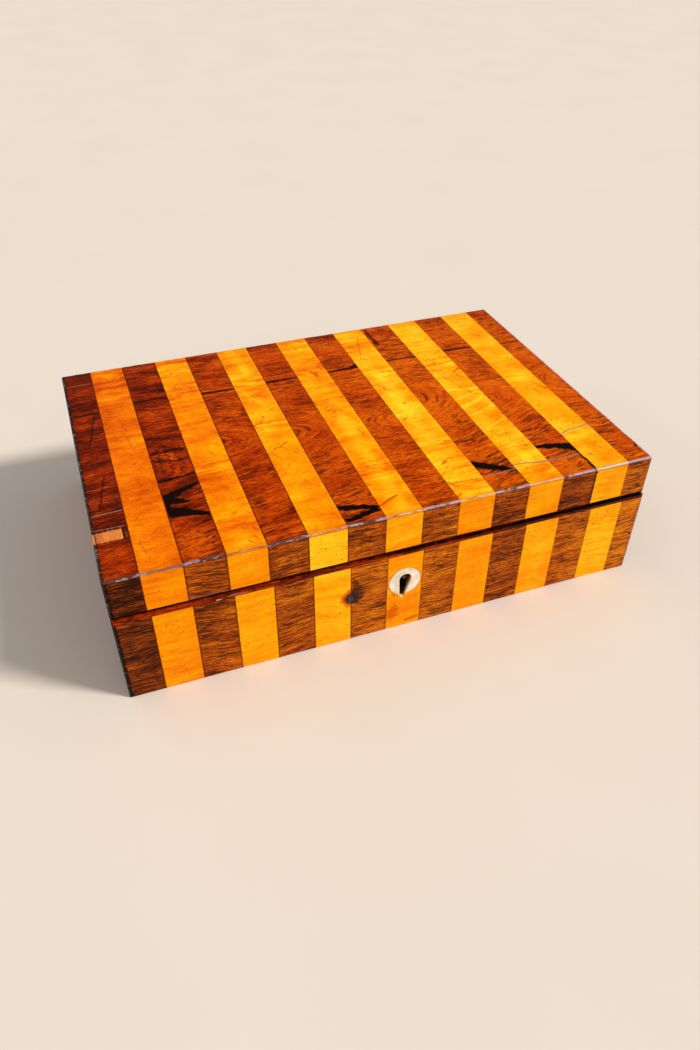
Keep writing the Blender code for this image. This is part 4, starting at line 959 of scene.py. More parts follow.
# %% Marks that lie where they lie on the real top
# A mark has its kind, its wobble in mm and its chains. A point of a chain has its X, its Y and the width
# of the stroke there.
strip_marks = {
    1: [("mended", 0.3, [(-165, 95, 18), (-135, 95, 18)]),
        ("patch edge", 0.4, [(-150, 85.6, 0.8), (-134, 86.6, 1)]),
        ("sunned", 2, [(-142, -100, 46), (-142, -86, 40)]),
        ("joint", 0.5, [(-150, 49.5, 2), (-133, 49.3, 1.8)]),
        ("crack", 0.6, [(-150, -49.8, 0.9), (-133, -48.8, 0.8)]),
        ("faint", 0.5, [(-150, -27.5, 0.4), (-133, -26.8, 0.4)], [(-150, -37.6, 0.4), (-133, -37, 0.4)]),
        ("hatch", 0.8, [(-136, 46, 0.6), (-139, 30, 0.7), (-142, 14, 0.5)],
         [(-138, -16, 0.5), (-144, -46, 0.7)]),
        # Painted shade: the dark band along the rounded left arris of the top.
        ("figure", 0.6, [(-149.6, -100, 1.9), (-149.6, 101, 1.9)]),
        ("crack", 0.3, [(-150, -61.6, 0.5), (-134, -61.6, 0.4)]),
        ("white", 0.8, [(-143, -100.4, 1), (-139, -100.4, 1.4)])],
    2: [("scratch", 0.5, [(-122, 22, 0.7), (-119, 2, 0.6)], [(-129, -76, 0.5), (-127, -86, 0.9)],
         [(-118, -24, 0.6), (-112, -36, 0.6)]),
        ("sunned", 2, [(-122, 98, 24), (-122, 82, 22)]),
        ("white", 1.2, [(-132, -100.4, 0.8), (-125, -100.5, 0.6)],
         [(-119, -100.5, 0.5), (-114, -100.4, 0.9)])],
    3: [("joint", 0.6, [(-111.5, 54.3, 2.3), (-92.2, 54.2, 2)]),
        ("sunned", 2, [(-102, -100, 44), (-102, -88, 36)]),
        ("figure", 1.4, [(-91.8, -38.6, 1.4), (-99, -41.6, 3.4), (-111, -46.5, 5.4)],
         [(-111.5, -48, 6), (-106, -50.6, 5), (-100.5, -53, 2)],
         [(-112, -46, 5), (-112, -59.6, 6.6), (-97.5, -64, 4.2), (-91.8, -66.2, 2.6)],
         [(-112, -57, 5), (-105, -59.4, 4.2), (-101, -61, 2.4)]),
        ("hatch", 2.2, [(-111, -4.5, 2.8), (-101, -3.6, 2.2), (-92, -4.6, 1.2)],
         [(-111, -12.2, 1.8), (-100, -14.6, 1.4), (-92, -14, 1.2)]),
        ("figure", 2.2, [(-111, -31.5, 2.2), (-100, -30.2, 1.2), (-92, -29.6, 1.6)]),
        ("hatch", 1.6, [(-107.5, -1, 0.5), (-108, -24, 0.5)], [(-103, 2, 0.6), (-102.5, -26, 0.6)],
         [(-97.5, -6, 0.5), (-98, -26, 0.5)]),
        ("dusk", 2, [(-111, 70, 14), (-92, 66, 14)])],
    4: [("scratch", 0.3, [(-80.4, -47.2, 0.6), (-79.6, -46.1, 0.6), (-78.3, -46.2, 0.6), (-77.8, -47.6, 0.6)],
         [(-77.8, -47.6, 0.6), (-78.5, -48.9, 0.6), (-79.8, -48.8, 0.6), (-80.4, -47.2, 0.6)],
         [(-79, -59.8, 1), (-78.4, -60.2, 1)]),
        ("scratch", 0.5, [(-84, 66, 0.5), (-78, 74, 0.4)])],
    5: [("dusk", 2, [(-71, 96, 14), (-51, 93, 12)]),
        ("joint", 0.6, [(-70.7, 50.6, 2.6), (-50.8, 50.2, 2.2)])],
    6: [("ripple", 1.5, [(-49, 4, 2.6), (-31, 2.8, 2.2)], [(-48, -2.5, 1.8), (-31, -3.6, 1.8)]),
        ("glow", 2, [(-43, 100, 12), (-39, 78, 12), (-36, 60, 10)], [(-47, 46, 9), (-38, 26, 10)]),
        ("scratch", 0.4, [(-43, 15.5, 0.6), (-42.5, 11, 0.6), (-45.5, 6.5, 0.8), (-49, 5, 0.5)])],
    7: [("dusk", 2, [(-30, 101, 12), (-10, 100, 12)]),
        ("joint", 0.6, [(-29.6, 50.7, 2.4), (-9.6, 50.8, 2.2)]),
        ("figure", 1.8, [(-30, -84.3, 4.6), (-19, -87.4, 3.2), (-11.5, -90.8, 4.6)],
         [(-11.5, -90.8, 4.6), (-17, -93.4, 3.4), (-28.5, -96, 3.2)])],
    8: [("glow", 2, [(1, -4, 12), (1.5, -70, 13), (0.5, -96, 14)]),
        ("scratch", 0.3, [(4, 52, 0.7), (9, 51.4, 0.9)], [(8.2, -62.4, 0.7), (11.2, -62.8, 0.9)])],
    9: [("dusk", 2, [(11, 99, 22), (32, 96, 18)]),
        ("joint", 0.6, [(11.5, 50.3, 2.4), (25, 50.8, 3), (31.6, 52.2, 6)])],
    10: [("ripple", 1.5, [(33, 11, 2.6), (50, 12, 3)], [(33, -13, 3.4), (50, -7, 2.4)],
          [(33, 22, 1.6), (48, 23, 2.2)]),
         ("glow", 2, [(42, 36, 14), (40, -40, 15)]),
         ("scratch", 0.5, [(46, 90, 0.7), (41.5, 74, 0.8), (37, 58, 0.6)]),
         ("scratch", 0.6, [(33, -85, 0.7), (51, -85.6, 0.7)])],
    11: [("joint", 0.6, [(52.6, 52, 1.8), (72.6, 51.2, 1.8)]),
         ("figure", 2, [(52, -73.6, 7), (60, -77.5, 4.6), (66, -82, 4.2), (73, -85.6, 3.6)]),
         ("crack", 0.6, [(53, -85.2, 0.6), (72.6, -84.6, 0.8)]),
         ("hatch", 1.2, [(54.6, 99, 1.6), (55.4, 76, 3.2)]),
         ("dusk", 2, [(52, 94, 16), (73, 90, 12)])],
    12: [("ripple", 1.5, [(74, 3.5, 2.6), (92, 0.5, 2.2)], [(74, -8, 2.2), (92, -3, 2)],
          [(74, -18, 4.4), (84, -14, 5), (92, -9, 2.4)], [(75, -28, 2.4), (92, -21, 2)],
          [(76, -44, 2), (92, -36, 1.6)], [(77, -52, 2.2), (85, -48, 1.8)]),
         ("glow", 2, [(80, -56, 10), (83, -80, 8)]),
         ("crack", 0.6, [(73.2, -80.6, 1.1), (79, -81.2, 1), (86, -83, 1.3), (93.2, -83.6, 1.5)]),
         ("scratch", 0.5, [(77.5, 24, 0.7), (82, 8, 0.8), (87, -4.5, 0.6)])],
    13: [("dusk", 2, [(93, 98, 12), (114, 96, 10)]),
         ("joint", 0.6, [(93.6, 52.4, 2.6), (113.6, 51, 2)]),
         ("figure", 1.8, [(93.2, -69.6, 3.2), (102, -71.6, 4.6), (108, -73.4, 5.4), (114, -76.4, 8)]),
         ("crack", 0.6, [(93.2, -83.6, 1.4), (104, -84, 1.1), (114, -84, 1.2)]),
         ("figure", 0.8, [(113.6, -78, 1), (113.6, -100, 1.2)])],
    14: [("ripple", 1.5, [(116, 4, 2.6), (133, 2.8, 2.2)], [(120, 0, 1.6), (133, -1.4, 1.4)]),
         ("glow", 2, [(118, -76, 12), (118, -96, 10)]),
         ("figure", 0.4, [(114.1, -101, 0.6), (114.1, -88, 0.2)]),
         ("crack", 0.5, [(114, -62.8, 1.2), (121, -60.4, 1.2), (128, -59.7, 1.1), (134.6, -58.2, 1.3)]),
         ("crack", 0.9, [(115, -99.8, 2), (134, -100, 1.6)])],
    15: [("joint", 0.6, [(134.8, 48.4, 1), (149, 48, 0.9)]),
         ("dusk", 1, [(130, 97, 18), (155, 97, 18)]),
         ("figure", 0.6, [(147.6, -87.5, 1.6), (149, -85.6, 1.6)])],
}
print("strips with marks of their own:", len(strip_marks))

# %% Shades, arrises and eyes of the top's strips
shades = (-0.13, -0.20, -0.06, -0.06, 0.06, 0.02, 0.09, 0.0, 0.12, 0.10, 0.19, 0.13, 0.20, 0.11, 0.19)
# Each arris pair is the dark lower and the light upper half of a worn arris; the light one is a painted
# highlight.
grey_arris = (srgb(62, 54, 56), srgb(178, 170, 188))
pink_arris = (srgb(112, 88, 72), srgb(208, 182, 168))
plain_arris = (srgb(60, 36, 28), srgb(132, 106, 98))
strip_arrises = {2: (srgb(104, 84, 72), srgb(188, 170, 146)), 14: (srgb(186, 156, 134), srgb(226, 206, 188))}
satin_eye = (-8, -6)
figure_eyes = {1: (-180, 170), 3: (-130, -16), 5: (-79, -3), 7: (-34, -9), 9: (38, -12), 11: (30, 6),
               13: (86, -11), 15: (158, -2)}
narrow_wear_and_highlight = 0.62
top_taper = 1.1 * MM
surface_dip = 0.05 * MM
dips_per_metre = 60.0
print("lightest strip:", shades.index(max(shades)) + 1)


# %% The fifteen strips
def ragged(vert):
    """Move a vertex near the lost chip, which broke straight along the grain and ragged across it."""
    reach = 2.4 * MM
    shift = 0.45 * MM * noise.noise(Vector((vert.co.x * 900.0, vert.co.y * 20.0, 1.0)))
    for edge_y in (chip_low.y, chip_high.y):
        if vert.co.x < chip_high.x + reach:
            vert.co.y += shift * max(0.0, 1.0 - abs(vert.co.y - edge_y) / reach)


def chipped_places(low, high, fine):
    """The X and Y places of the first strip, with places along the edges of its lost chip."""
    end_margin = 2.4 * MM
    end_steps = round(end_margin / fine)
    xs = places(low.x, chip_high.x, fine, coarse=0.8 * MM, margin=2.0 * MM)[:-1] + [chip_high.x, high.x]
    ys = [low.y + fine * step for step in range(end_steps)]
    for start, end in ((ys[-1], chip_low.y), (chip_low.y, chip_high.y), (chip_high.y, high.y - end_margin)):
        ys += places(start, end, fine=0.8 * MM, coarse=2.4 * MM, margin=2.4 * MM)[1:]
    return xs, ys + [high.y - fine * step for step in reversed(range(end_steps))]


def in_chip(x, y):
    return x < chip_high.x and chip_low.y < y < chip_high.y


def make_top_strip(number):
    """One strip of the top, with worn outer arrises and its own piece of wood."""
    node = f"top_strip_{number:02d}"
    fine = 0.2 * MM
    low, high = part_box(node)
    low.x -= 0.0 if number == 1 else joint_filling
    high.x += 0.0 if number == 15 else joint_filling
    zs = places(low.z, high.z, fine, coarse=0.4 * MM, margin=0.4 * MM)
    if number == 1:
        bm = box_shell(*chipped_places(low, high, fine), zs, in_chip)
    else:
        bm = box_shell(places(low.x, high.x, fine, coarse=1.0 * MM, margin=2.0 * MM),
                       places(low.y, high.y, fine, coarse=2.5 * MM, margin=2.4 * MM), zs)
    wear_arrises(bm, arris_low, arris_high, radius=0.85 * MM, patchiness=0.35 * MM)
    for vert in bm.verts:
        if vert.co.z > low.z + same_spot:
            vert.co.z += surface_dip * (noise.noise(vert.co * dips_per_metre) - 1.0)
    if number == 1:
        for vert in bm.verts:
            ragged(vert)
    wood = "satinwood" if number % 2 == 0 else "rosewood"
    arris = strip_arrises.get(number, grey_arris if wood == "rosewood" else pink_arris)
    material = wood_finish(f"{wood}_top_{number:02d}", wood, "top", (arris_low, arris_high), arris,
                           eye=(*figure_eyes.get(number, satin_eye), 0), shade=shades[number - 1],
                           seed=number / 7.0, marks=strip_marks[number],
                           joints=(first_joint, strip_pitch, top_taper),
                           wear_and_highlight_width=1.0 if wood == "rosewood" or number in strip_arrises else narrow_wear_and_highlight)
    return dress(add_piece(f"{node}_fine", bm, material), node)


top_strips = [make_top_strip(number) for number in range(1, 16)]
print("quads in the first strip:", len(top_strips[0].data.polygons))

# %% [markdown]
# ## The striped fronts
#
# Below the top, the same two woods alternate across the front of the lid and of the base. What repeats at a
# steady step suits Geometry Nodes: a line of points, one for each strip of the same wood, and on each point
# a thin sheet cut into quads. One tree makes all four sets. The two end strips have widths of their own and
# a rounded corner, so they are worn boxes like the strips of the top.

# %% Geometry Nodes helpers
def new_maker(name, inputs):
    """A Geometry Nodes tree with named inputs, a material among them."""
    inputs = {**inputs, "Material": None}
    return new_group(name, inputs, ["Geometry"], "GeometryNodeTree", "NodeSocketGeometry")


def finish_maker(graph, given, geometry):
    """Real meshes instead of instances, with the material that was given."""
    real = graph.out("GeometryNodeRealizeInstances", {"Geometry": geometry})
    inputs = {"Geometry": real, "Material": given["Material"]}
    graph.give(Geometry=graph.out("GeometryNodeSetMaterial", inputs))


def grow(maker, material, **values):
    """Run a maker with its own values, and keep what it makes as a plain mesh."""
    host = bpy.data.objects.new("host", bpy.data.meshes.new("host"))
    bpy.context.scene.collection.objects.link(host)
    modifier = host.modifiers.new(maker, "NODES")
    modifier.node_group = bpy.data.node_groups[maker]
    named = {name.replace("_", " "): value for name, value in values.items()}
    named["Material"] = material
    for item in modifier.node_group.interface.items_tree:
        if item.in_out == "INPUT" and item.name in named:
            modifier[item.identifier] = named[item.name]
    mesh = evaluated_mesh(host)
    bpy.data.objects.remove(host)
    return mesh


print("maker helpers ready")


# %% Maker: a row of veneer strips
graph, given = new_maker("veneer row", {
    "Count": 6, "First": 0.0, "Step": 0.04, "Width": 0.02, "Thickness": 0.0012, "Front": 0.0, "Bottom": 0.0,
    "Height": 0.05, "Columns": 9, "Rows": 13})
middle_y = given["Thickness"] * 0.5 + given["Front"]
middle_z = given["Height"] * 0.5 + given["Bottom"]
row_points = graph.out("GeometryNodeMeshLine", {
    "Count": given["Count"], "Start Location": graph.join(given["First"], middle_y, middle_z),
    "Offset": graph.join(given["Step"], 0.0)})
sheet_size = graph.join(given["Width"], given["Thickness"], given["Height"])
veneer_sheet = graph.out("GeometryNodeMeshCube", {
    "Size": sheet_size, "Vertices X": given["Columns"], "Vertices Z": given["Rows"]})
row = graph.out("GeometryNodeInstanceOnPoints", {"Points": row_points, "Instance": veneer_sheet})
finish_maker(graph, given, row)
print("maker inputs:", ", ".join(given))

# %% Sizes and tones of the striped fronts
base_shift = 1.4 * MM
hairline = 0.02 * MM
inlay_gap = 0.2 * MM
front_taper = 0.8 * MM
fronts = {}
for half, shift in (("lid", 0.0), ("base", base_shift)):
    low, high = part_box(f"{half}_front_veneer")
    fronts[half] = {"low": low, "high": high, "shift": shift, "joints": (first_joint + shift, strip_pitch)}
    far_corner = Vector((high.x, high.y + 1, high.z + 1))
    fronts[half]["arrises"] = (Vector((low.x, low.y, below_everything)), far_corner)
front_tones = {
    "lid": (0.19, 0.37, 0.44, 0.44, 0.43, 0.78, 0.44, 0.57, 0.48, 0.40, 0.38, 0.49, 0.39, 0.56, 0.53),
    "base": (0.27, 0.41, 0.46, 0.55, 0.48, 0.62, 0.56, 0.46, 0.59, 0.48, 0.41, 0.55, 0.54, 0.59, 0.66),
}
middle_tone = 0.46
wood_depth = {"rosewood": 0.04, "satinwood": 0.0}
print("strips of a front from X in mm:", round(first_joint / MM, 1))

# %% Marks on the fronts
burn = ("burn", 0.7, [(-28, 34.2, 5.4), (-28.3, 31.2, 10.2), (-27.8, 28.6, 5.2)])
# Painted highlight: a cool grey gleam in the middle of the burn.
ash = ("ash", 0.8, [(-28.8, 32.6, 2), (-28.6, 29.6, 3.2)])
burnt_edge = ("shadow", 1, [(-26.4, 42, 5), (-25, 38, 8), (-24.6, 32, 9.5), (-26, 28, 6)])
glowing_edge = ("halo", 0.8, [(-28.8, 35.4, 8), (-29.2, 31.2, 13), (-29, 28.6, 10)])
glue_line = ("figure", 0.3, [(114, 80, 0.9), (114.1, 57, 0.4)])
# Painted shade: a dark band down the rounded left corner of both fronts, which turns away from the lamp.
shaded_corner = ("figure", 0.8, [(-149.6, -5, 3), (-149.6, 85, 3)])
front_marks = {
    ("base", "rosewood"): [burnt_edge, burn, ash],
    ("lid", "rosewood"): [("edge line", 0.5, [(-112, 57.3, 0.7), (-93, 57.1, 0.6)]), glue_line],
    ("lid", "satinwood"): [glue_line],
    # On the base satinwood, the white mark at the foot of the keyhole is a chip in its worn edge with a
    # painted highlight.
    ("base", "satinwood"): [glowing_edge, burn, ash, ("white", 0.4, [(-0.4, 24.8, 1.3), (1.2, 22.8, 1.5)]),
                            ("dirt", 0.4, [(-3.8, 25.6, 1.6), (-3.2, 24.6, 1.2)]),
                            ("stain", 1.8, [(-3, 15.5, 6), (-4.6, 10.5, 9.5)]),
                            ("stain", 1.4, [(10, 4, 5), (4, 3, 4)])],
}
print("sets of front marks:", len(front_marks))


# %% Keyhole
def keyhole_outline():
    """The keyhole's outline as X and Z: a round head whose sides run to a narrow foot that leans left."""
    axis = keyhole_foot - keyhole_head
    lean = math.atan2(axis.x, -axis.y)
    taper = math.asin((head_radius - foot_radius) / axis.length)
    arc_steps = 24
    outline = []
    for centre, radius, start, turn in ((keyhole_head, head_radius, -taper, math.pi + 2 * taper),
                                        (keyhole_foot, foot_radius, math.pi + taper, math.pi - 2 * taper)):
        for step in range(arc_steps + 1):
            angle = start + turn * step / arc_steps + lean
            outline.append((centre.x + radius * math.cos(angle), centre.y + radius * math.sin(angle)))
    return outline


def through_front(outline, low_y, high_y):
    """A solid with that outline, as X and Z, between two depths."""
    return solid_between(*[[(x, y, z) for x, z in outline] for y in (low_y, high_y)])


def disc_outline(radius, steps=64):
    outline = []
    for step in range(steps):
        turn = math.tau * step / steps
        outline.append((disc_centre.x + radius * math.cos(turn), disc_centre.z + radius * math.sin(turn)))
    return outline


print("points of the keyhole:", len(keyhole_outline()))


# %% Front strips
def end_strip(half, number):
    """The first or last strip of a front, whose outer corner is worn round."""
    face = fronts[half]
    low, high = face["low"].copy(), face["high"].copy()
    if number == 1:
        high.x = face["joints"][0] - hairline / 2
    else:
        low.x = face["joints"][0] + 13 * strip_pitch + hairline / 2
    bm = box_shell(places(low.x, high.x, fine=0.2 * MM, coarse=1.2 * MM, margin=2.0 * MM),
                   [low.y, (low.y + high.y) / 2, high.y],
                   places(low.z, high.z, fine=0.6 * MM, coarse=2.0 * MM, margin=0.6 * MM))
    round_low = Vector((face["low"].x, low.y, below_everything))
    round_high = Vector((face["high"].x, beyond_everything, beyond_everything))
    wear_arrises(bm, round_low, round_high, radius=0.95 * MM, patchiness=0.3 * MM)
    material = wood_finish(f"rosewood_{half}_front_{number:02d}", "front rosewood", "front", face["arrises"],
                           grey_arris, eye=(0.0, 150.0, 0.0), seed=float(number),
                           shade=front_tones[half][number - 1] - middle_tone, wear_and_highlight_strength=0.6,
                           joints=(*face["joints"], front_taper),
                           marks=[shaded_corner] if number == 1 else ())
    return dress(add_piece(f"{half}_front_strip_{number:02d}", bm, material), f"{half}_front_veneer")


def make_front(half):
    """The strips of one front: two rows of one wood each, and the two ends."""
    face = fronts[half]
    low, high = face["low"], face["high"]
    made = [end_strip(half, 1), end_strip(half, 15)]
    for wood, first, count, arris, wear_and_highlight_width in (("rosewood", 3, 6, grey_arris, 1.0),
                                                  ("satinwood", 2, 7, pink_arris, narrow_wear_and_highlight)):
        material = wood_finish(
            f"{wood}_{half}_front", f"front {wood}", "front", face["arrises"], arris, wear_and_highlight_width=wear_and_highlight_width,
            eye=(face["shift"] / MM, 160.0, 0.0), row=(*face["joints"], front_tones[half]),
            shade=wood_depth[wood], joints=(*face["joints"], front_taper), marks=front_marks[half, wood])
        mesh = grow("veneer row", material, Count=count, Step=2 * strip_pitch, Width=strip_pitch - hairline,
                    First=face["joints"][0] + strip_pitch * (first - 1.5), Thickness=high.y - low.y,
                    Front=low.y, Bottom=low.z, Height=high.z - low.z)
        strips = add_mesh_piece(f"{half}_front_{wood}", mesh, material)
        if half == "base" and wood == "satinwood":
            for outline in (disc_outline(disc_radius + inlay_gap), keyhole_outline()):
                cut_away(strips, through_front(outline, low.y - MM, high.y + MM))
        made.append(dress(ease_edges(strips, 0.05 * MM), f"{half}_front_veneer"))
    return made


front_pieces = make_front("lid") + make_front("base")
print("front pieces:", [piece.name for piece in front_pieces])

# %% Escutcheon
disc_solid = through_front(disc_outline(disc_radius, 96), disc_low.y, disc_high.y)
disc = add_piece("escutcheon_disc", disc_solid, bone)
cut_away(disc, through_front(keyhole_outline(), disc_low.y - MM, disc_high.y + MM))
dress(ease_edges(disc, 0.18 * MM, 3), "escutcheon")
print("faces of the escutcheon:", len(disc.data.polygons))

# %% [markdown]
# ## Bandings, sides and back
#
# The rims are faced with rosewood banding, which shows as a dark line all round the parting. It is painted
# darker towards +X as painted shade, and a painted shadow runs along its front under the edge of the lid. The
# sides and the back are plain rosewood, darker than the show faces. Their shapes are right as they come, so
# they only need their edges eased and their own wood.

# %% Bandings and plain veneers
base_front_y = fronts["base"]["low"].y
case_box = {
    "lid": (arris_low, lid_top_high.copy()),
    "base": (Vector((lid_top_low.x, base_front_y, 0.0)),
             Vector((lid_top_high.x, lid_top_high.y, beyond_everything))),
}
# The dark line along the top of the banding is a painted shadow in the parting, under the edge of the lid.
banding_marks = [("edge line", 0.6, [(-112, 53, 0.2), (-60, 53, 0.5), (150, 53, 0.5)]),
                 ("figure", 0.3, [(-150, 56.2, 0.6), (-60, 56, 1), (0, 55.6, 1.4), (150, 55.5, 1.6)]),
                 ("white", 0.6, [(-99, 53.4, 1), (-96.5, 53, 0.9)]),
                 ("crack", 0.6, [(-93, 54.2, 0.6), (-84, 54, 0.8)]),
                 ("faint", 0.6, [(14, 54.6, 0.3), (22, 54.8, 0.3)])]
chip_marks = [("chip", 0.2, [(chip_low.y / MM + 0.5, 78.6, 1.1), (chip_high.y / MM - 0.5, 78.6, 1.1)])]
# The banding's arris pair, whose light colour is a painted highlight.
banding_edge = (srgb(72, 28, 16), srgb(140, 92, 78))
half_seeds = {"lid": 7.0, "base": 3.0}
for half in ("lid", "base"):
    # Painted shade: the banding is painted darker towards +X.
    banding = wood_finish(f"banding_{half}", "rosewood", "rim", case_box[half], banding_edge, seed=31.0,
                          eye=(0, 2000, 2000), shade=-0.12, sun=-0.9, marks=banding_marks,
                          marks_front=base_front_y + 2.0 * MM)
    fine_copy(f"{half}_rim_banding", 0.22 * MM, banding)
    for side, grain in (("left", "side"), ("right", "side"), ("back", "front")):
        veneer = wood_finish(f"{half}_{side}_rosewood", "side rosewood", grain, case_box[half], plain_arris,
                             wear_and_highlight_strength=0.6, eye=(20.0, 150.0, 0.0), seed=len(side) + half_seeds[half],
                             marks=chip_marks if (half, side) == ("lid", "left") else ())
        fine_copy(f"{half}_{side}_veneer", 0.15 * MM, veneer)
print("outside of the case done")

# %% [markdown]
# ## Boards, partitions and flaps
#
# The woods inside never got the polish of the show faces. In a board the grain runs along its length, so
# the pattern is three-dimensional and the end grain shows dots instead of lines. Flat boards of pine close
# the bottom and carry the veneer of the top.

# %% Boards
inner_pieces = {
    "along x": ["lid_front_board", "lid_back_board", "base_front_board", "base_back_board", "lid_flap",
                "base_flap", "lid_flap_bearer", "partition", "pen_tray"],
    "along y": ["lid_left_board", "lid_right_board", "base_left_board", "base_right_board",
                "ink_divider_left", "ink_divider_right"],
}
# Arris pairs of the inner boards, whose light colours are painted highlights.
mahogany_edge = (srgb(90, 46, 28), srgb(140, 92, 60))
pine_edge = (srgb(130, 80, 46), srgb(206, 160, 110))
for grain, nodes in inner_pieces.items():
    for number, node in enumerate(nodes):
        low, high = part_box(node)
        board = wood_finish(f"mahogany_{node}", "mahogany", grain, (low, high), mahogany_edge,
                            eye=(0.0, 60.0, 30.0), seed=11.0 * number, shade=0.04 * (number % 3) - 0.04,
                            wear_and_highlight_strength=0.45)
        hole = None
        if node == "base_front_board":
            hole = through_front(keyhole_outline(), low.y - MM, high.y + MM)
        fine_copy(node, 0.25 * MM, board, hole=hole)
# A dark line painted down the pine at the right end of the lost chip, along the foot of the veneer's step.
slit_x = chip_high.x / MM - 0.9
slit_marks = [("figure", 0.2, [(chip_low.y / MM, slit_x, 0.8), (chip_high.y / MM, slit_x, 0.8)])]
for node in ("lid_top_board", "bottom_board"):
    board = wood_finish(f"pine_{node}", "pine", "along y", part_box(node), pine_edge, eye=(30.0, 20.0, 40.0),
                        seed=4.0, marks=slit_marks, wear_and_highlight_strength=0.4)
    fine_copy(node, 0.3 * MM, board)
print("boards done")


# %% Hardware, leather and glass
pin_above_middle = 2.6 * MM
pin_reach = 1.3 * MM
pin_behind_face = 0.7 * MM


def lengthen_key_pin(bm):
    """The pin that the hollow key slides on ends just behind the face of the escutcheon."""
    pin_axis = Vector((disc_centre.x, disc_centre.z + pin_above_middle))
    near = [vert for vert in bm.verts if (Vector((vert.co.x, vert.co.z)) - pin_axis).length < pin_reach]
    pin_end = min(vert.co.y for vert in near)
    for vert in near:
        if vert.co.y < pin_end + 0.1 * MM:
            vert.co.y = disc_low.y + pin_behind_face


finishes = {"brass": (0.12 * MM, brass), "steel": (0.12 * MM, iron), "leather": (0.15 * MM, leather),
            "glass": (0.5 * MM, glass)}
for node, slot in slot_of_node.items():
    if slot in finishes:
        ease, material = finishes[slot] if node != "inkwell_cap" else (0.3 * MM, bright_brass)
        fine_copy(node, ease, material, segments=3 if slot == "glass" else 2,
                  reshape=lengthen_key_pin if node == "lock_case" else None)

# %% [markdown]
# ## Screws
#
# The hinges and the link plate are held by brass wood screws with countersunk heads, and the lock by iron
# ones. A screw is a cone on a shank, with a slot sawn across. The maker stopped turning each where it was
# tight, so the slots point every way: a Random Value node with a fixed seed turns each screw. Geometry Nodes
# join, saw, repeat and turn them, and the two inputs for place and turn set a whole row on its plate.

# %% Maker: a row of screws
graph, given = new_maker("screw row", {
    "Count": 3, "Spacing": 10.0 * MM, "Head Radius": 1.4 * MM, "Shank Radius": 0.75 * MM,
    "Head Depth": 1.0 * MM, "Length": 4.0 * MM, "Slot Width": 0.35 * MM, "Seed": 1,
    "Place": (0.0, 0.0, 0.0), "Turn": (0.0, 0.0, 0.0)})
facets = 20


def moved(geometry, translation, **more):
    """Geometry moved, and turned if asked for, in the tree at hand."""
    inputs = {"Geometry": geometry, "Translation": translation, **more}
    return graph.out("GeometryNodeTransform", inputs)


head = graph.out("GeometryNodeMeshCone", {
    "Vertices": facets, "Radius Top": given["Head Radius"], "Radius Bottom": given["Shank Radius"],
    "Depth": given["Head Depth"]})
head = moved(head, graph.join(0.0, 0.0, given["Head Depth"] * -1.0))
shank = graph.out("GeometryNodeMeshCylinder", {
    "Vertices": facets, "Radius": given["Shank Radius"] * 0.97, "Depth": given["Length"]})
shank = moved(shank, graph.join(0.0, 0.0, given["Length"] * -0.5 + given["Head Depth"] * -0.9))
unslotted = graph.gather("GeometryNodeMeshBoolean", "Mesh 2", (head, shank), operation="UNION")
saw = graph.out("GeometryNodeMeshCube", {
    "Size": graph.join(given["Head Radius"] * 3.0, given["Slot Width"], given["Head Depth"])})
screw = graph.out("GeometryNodeMeshBoolean", {"Mesh 1": unslotted, "Mesh 2": saw}, operation="DIFFERENCE")
row_start = graph.join((given["Count"] - 1.0) * -0.5 * given["Spacing"], 0.0)
spots = graph.out("GeometryNodeMeshLine", {
    "Count": given["Count"], "Start Location": row_start, "Offset": graph.join(given["Spacing"], 0.0)})
turn = graph.out("FunctionNodeRandomValue", {2: 0.0, 3: math.pi, "Seed": given["Seed"]}, 1)
row = graph.out("GeometryNodeInstanceOnPoints", {
    "Points": spots, "Instance": screw, "Rotation": graph.join(0.0, 0.0, turn)})
finish_maker(graph, given, moved(row, given["Place"], Rotation=given["Turn"]))
print("maker inputs:", ", ".join(given))

# %% Planes that slope with the rims
sloping = max(frame["nodes"]["base_flap_leather"].data.polygons, key=lambda face: face.area).normal.copy()
slope_up = sloping if sloping.z > 0 else -sloping
slope_turn = -math.asin(slope_up.y)


def plane_of(node, direction):
    """How far along the direction the widest face that looks that way lies."""
    areas = {}
    level_step = 0.01 * MM
    nearly_parallel = 0.999
    for face in frame["nodes"][node].data.polygons:
        if face.normal.dot(direction) > nearly_parallel:
            level = round(face.center.dot(direction) / level_step)
            areas[level] = areas.get(level, 0.0) + face.area
    return max(areas, key=areas.get) * level_step


def middle_on(node, direction):
    """The middle of a node, moved up or down onto that plane."""
    low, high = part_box(node)
    x, y = (low.x + high.x) / 2, (low.y + high.y) / 2
    return Vector((x, y, (plane_of(node, direction) - direction.y * y) / direction.z))


print("slope of the rims in degrees:", round(math.degrees(slope_turn), 3))


# %% Screws in the hinges, the lock and the link plate
def add_screws(name, node, direction, centre, material, **values):
    """A row of screws in a plate. Their heads look along the direction."""
    flip = math.pi if direction.z < 0 else 0.0
    mesh = grow("screw row", material, Place=tuple(centre), Turn=(slope_turn + flip, 0.0, 0.0), **values)
    ride_with(add_mesh_piece(name, mesh, material), node)


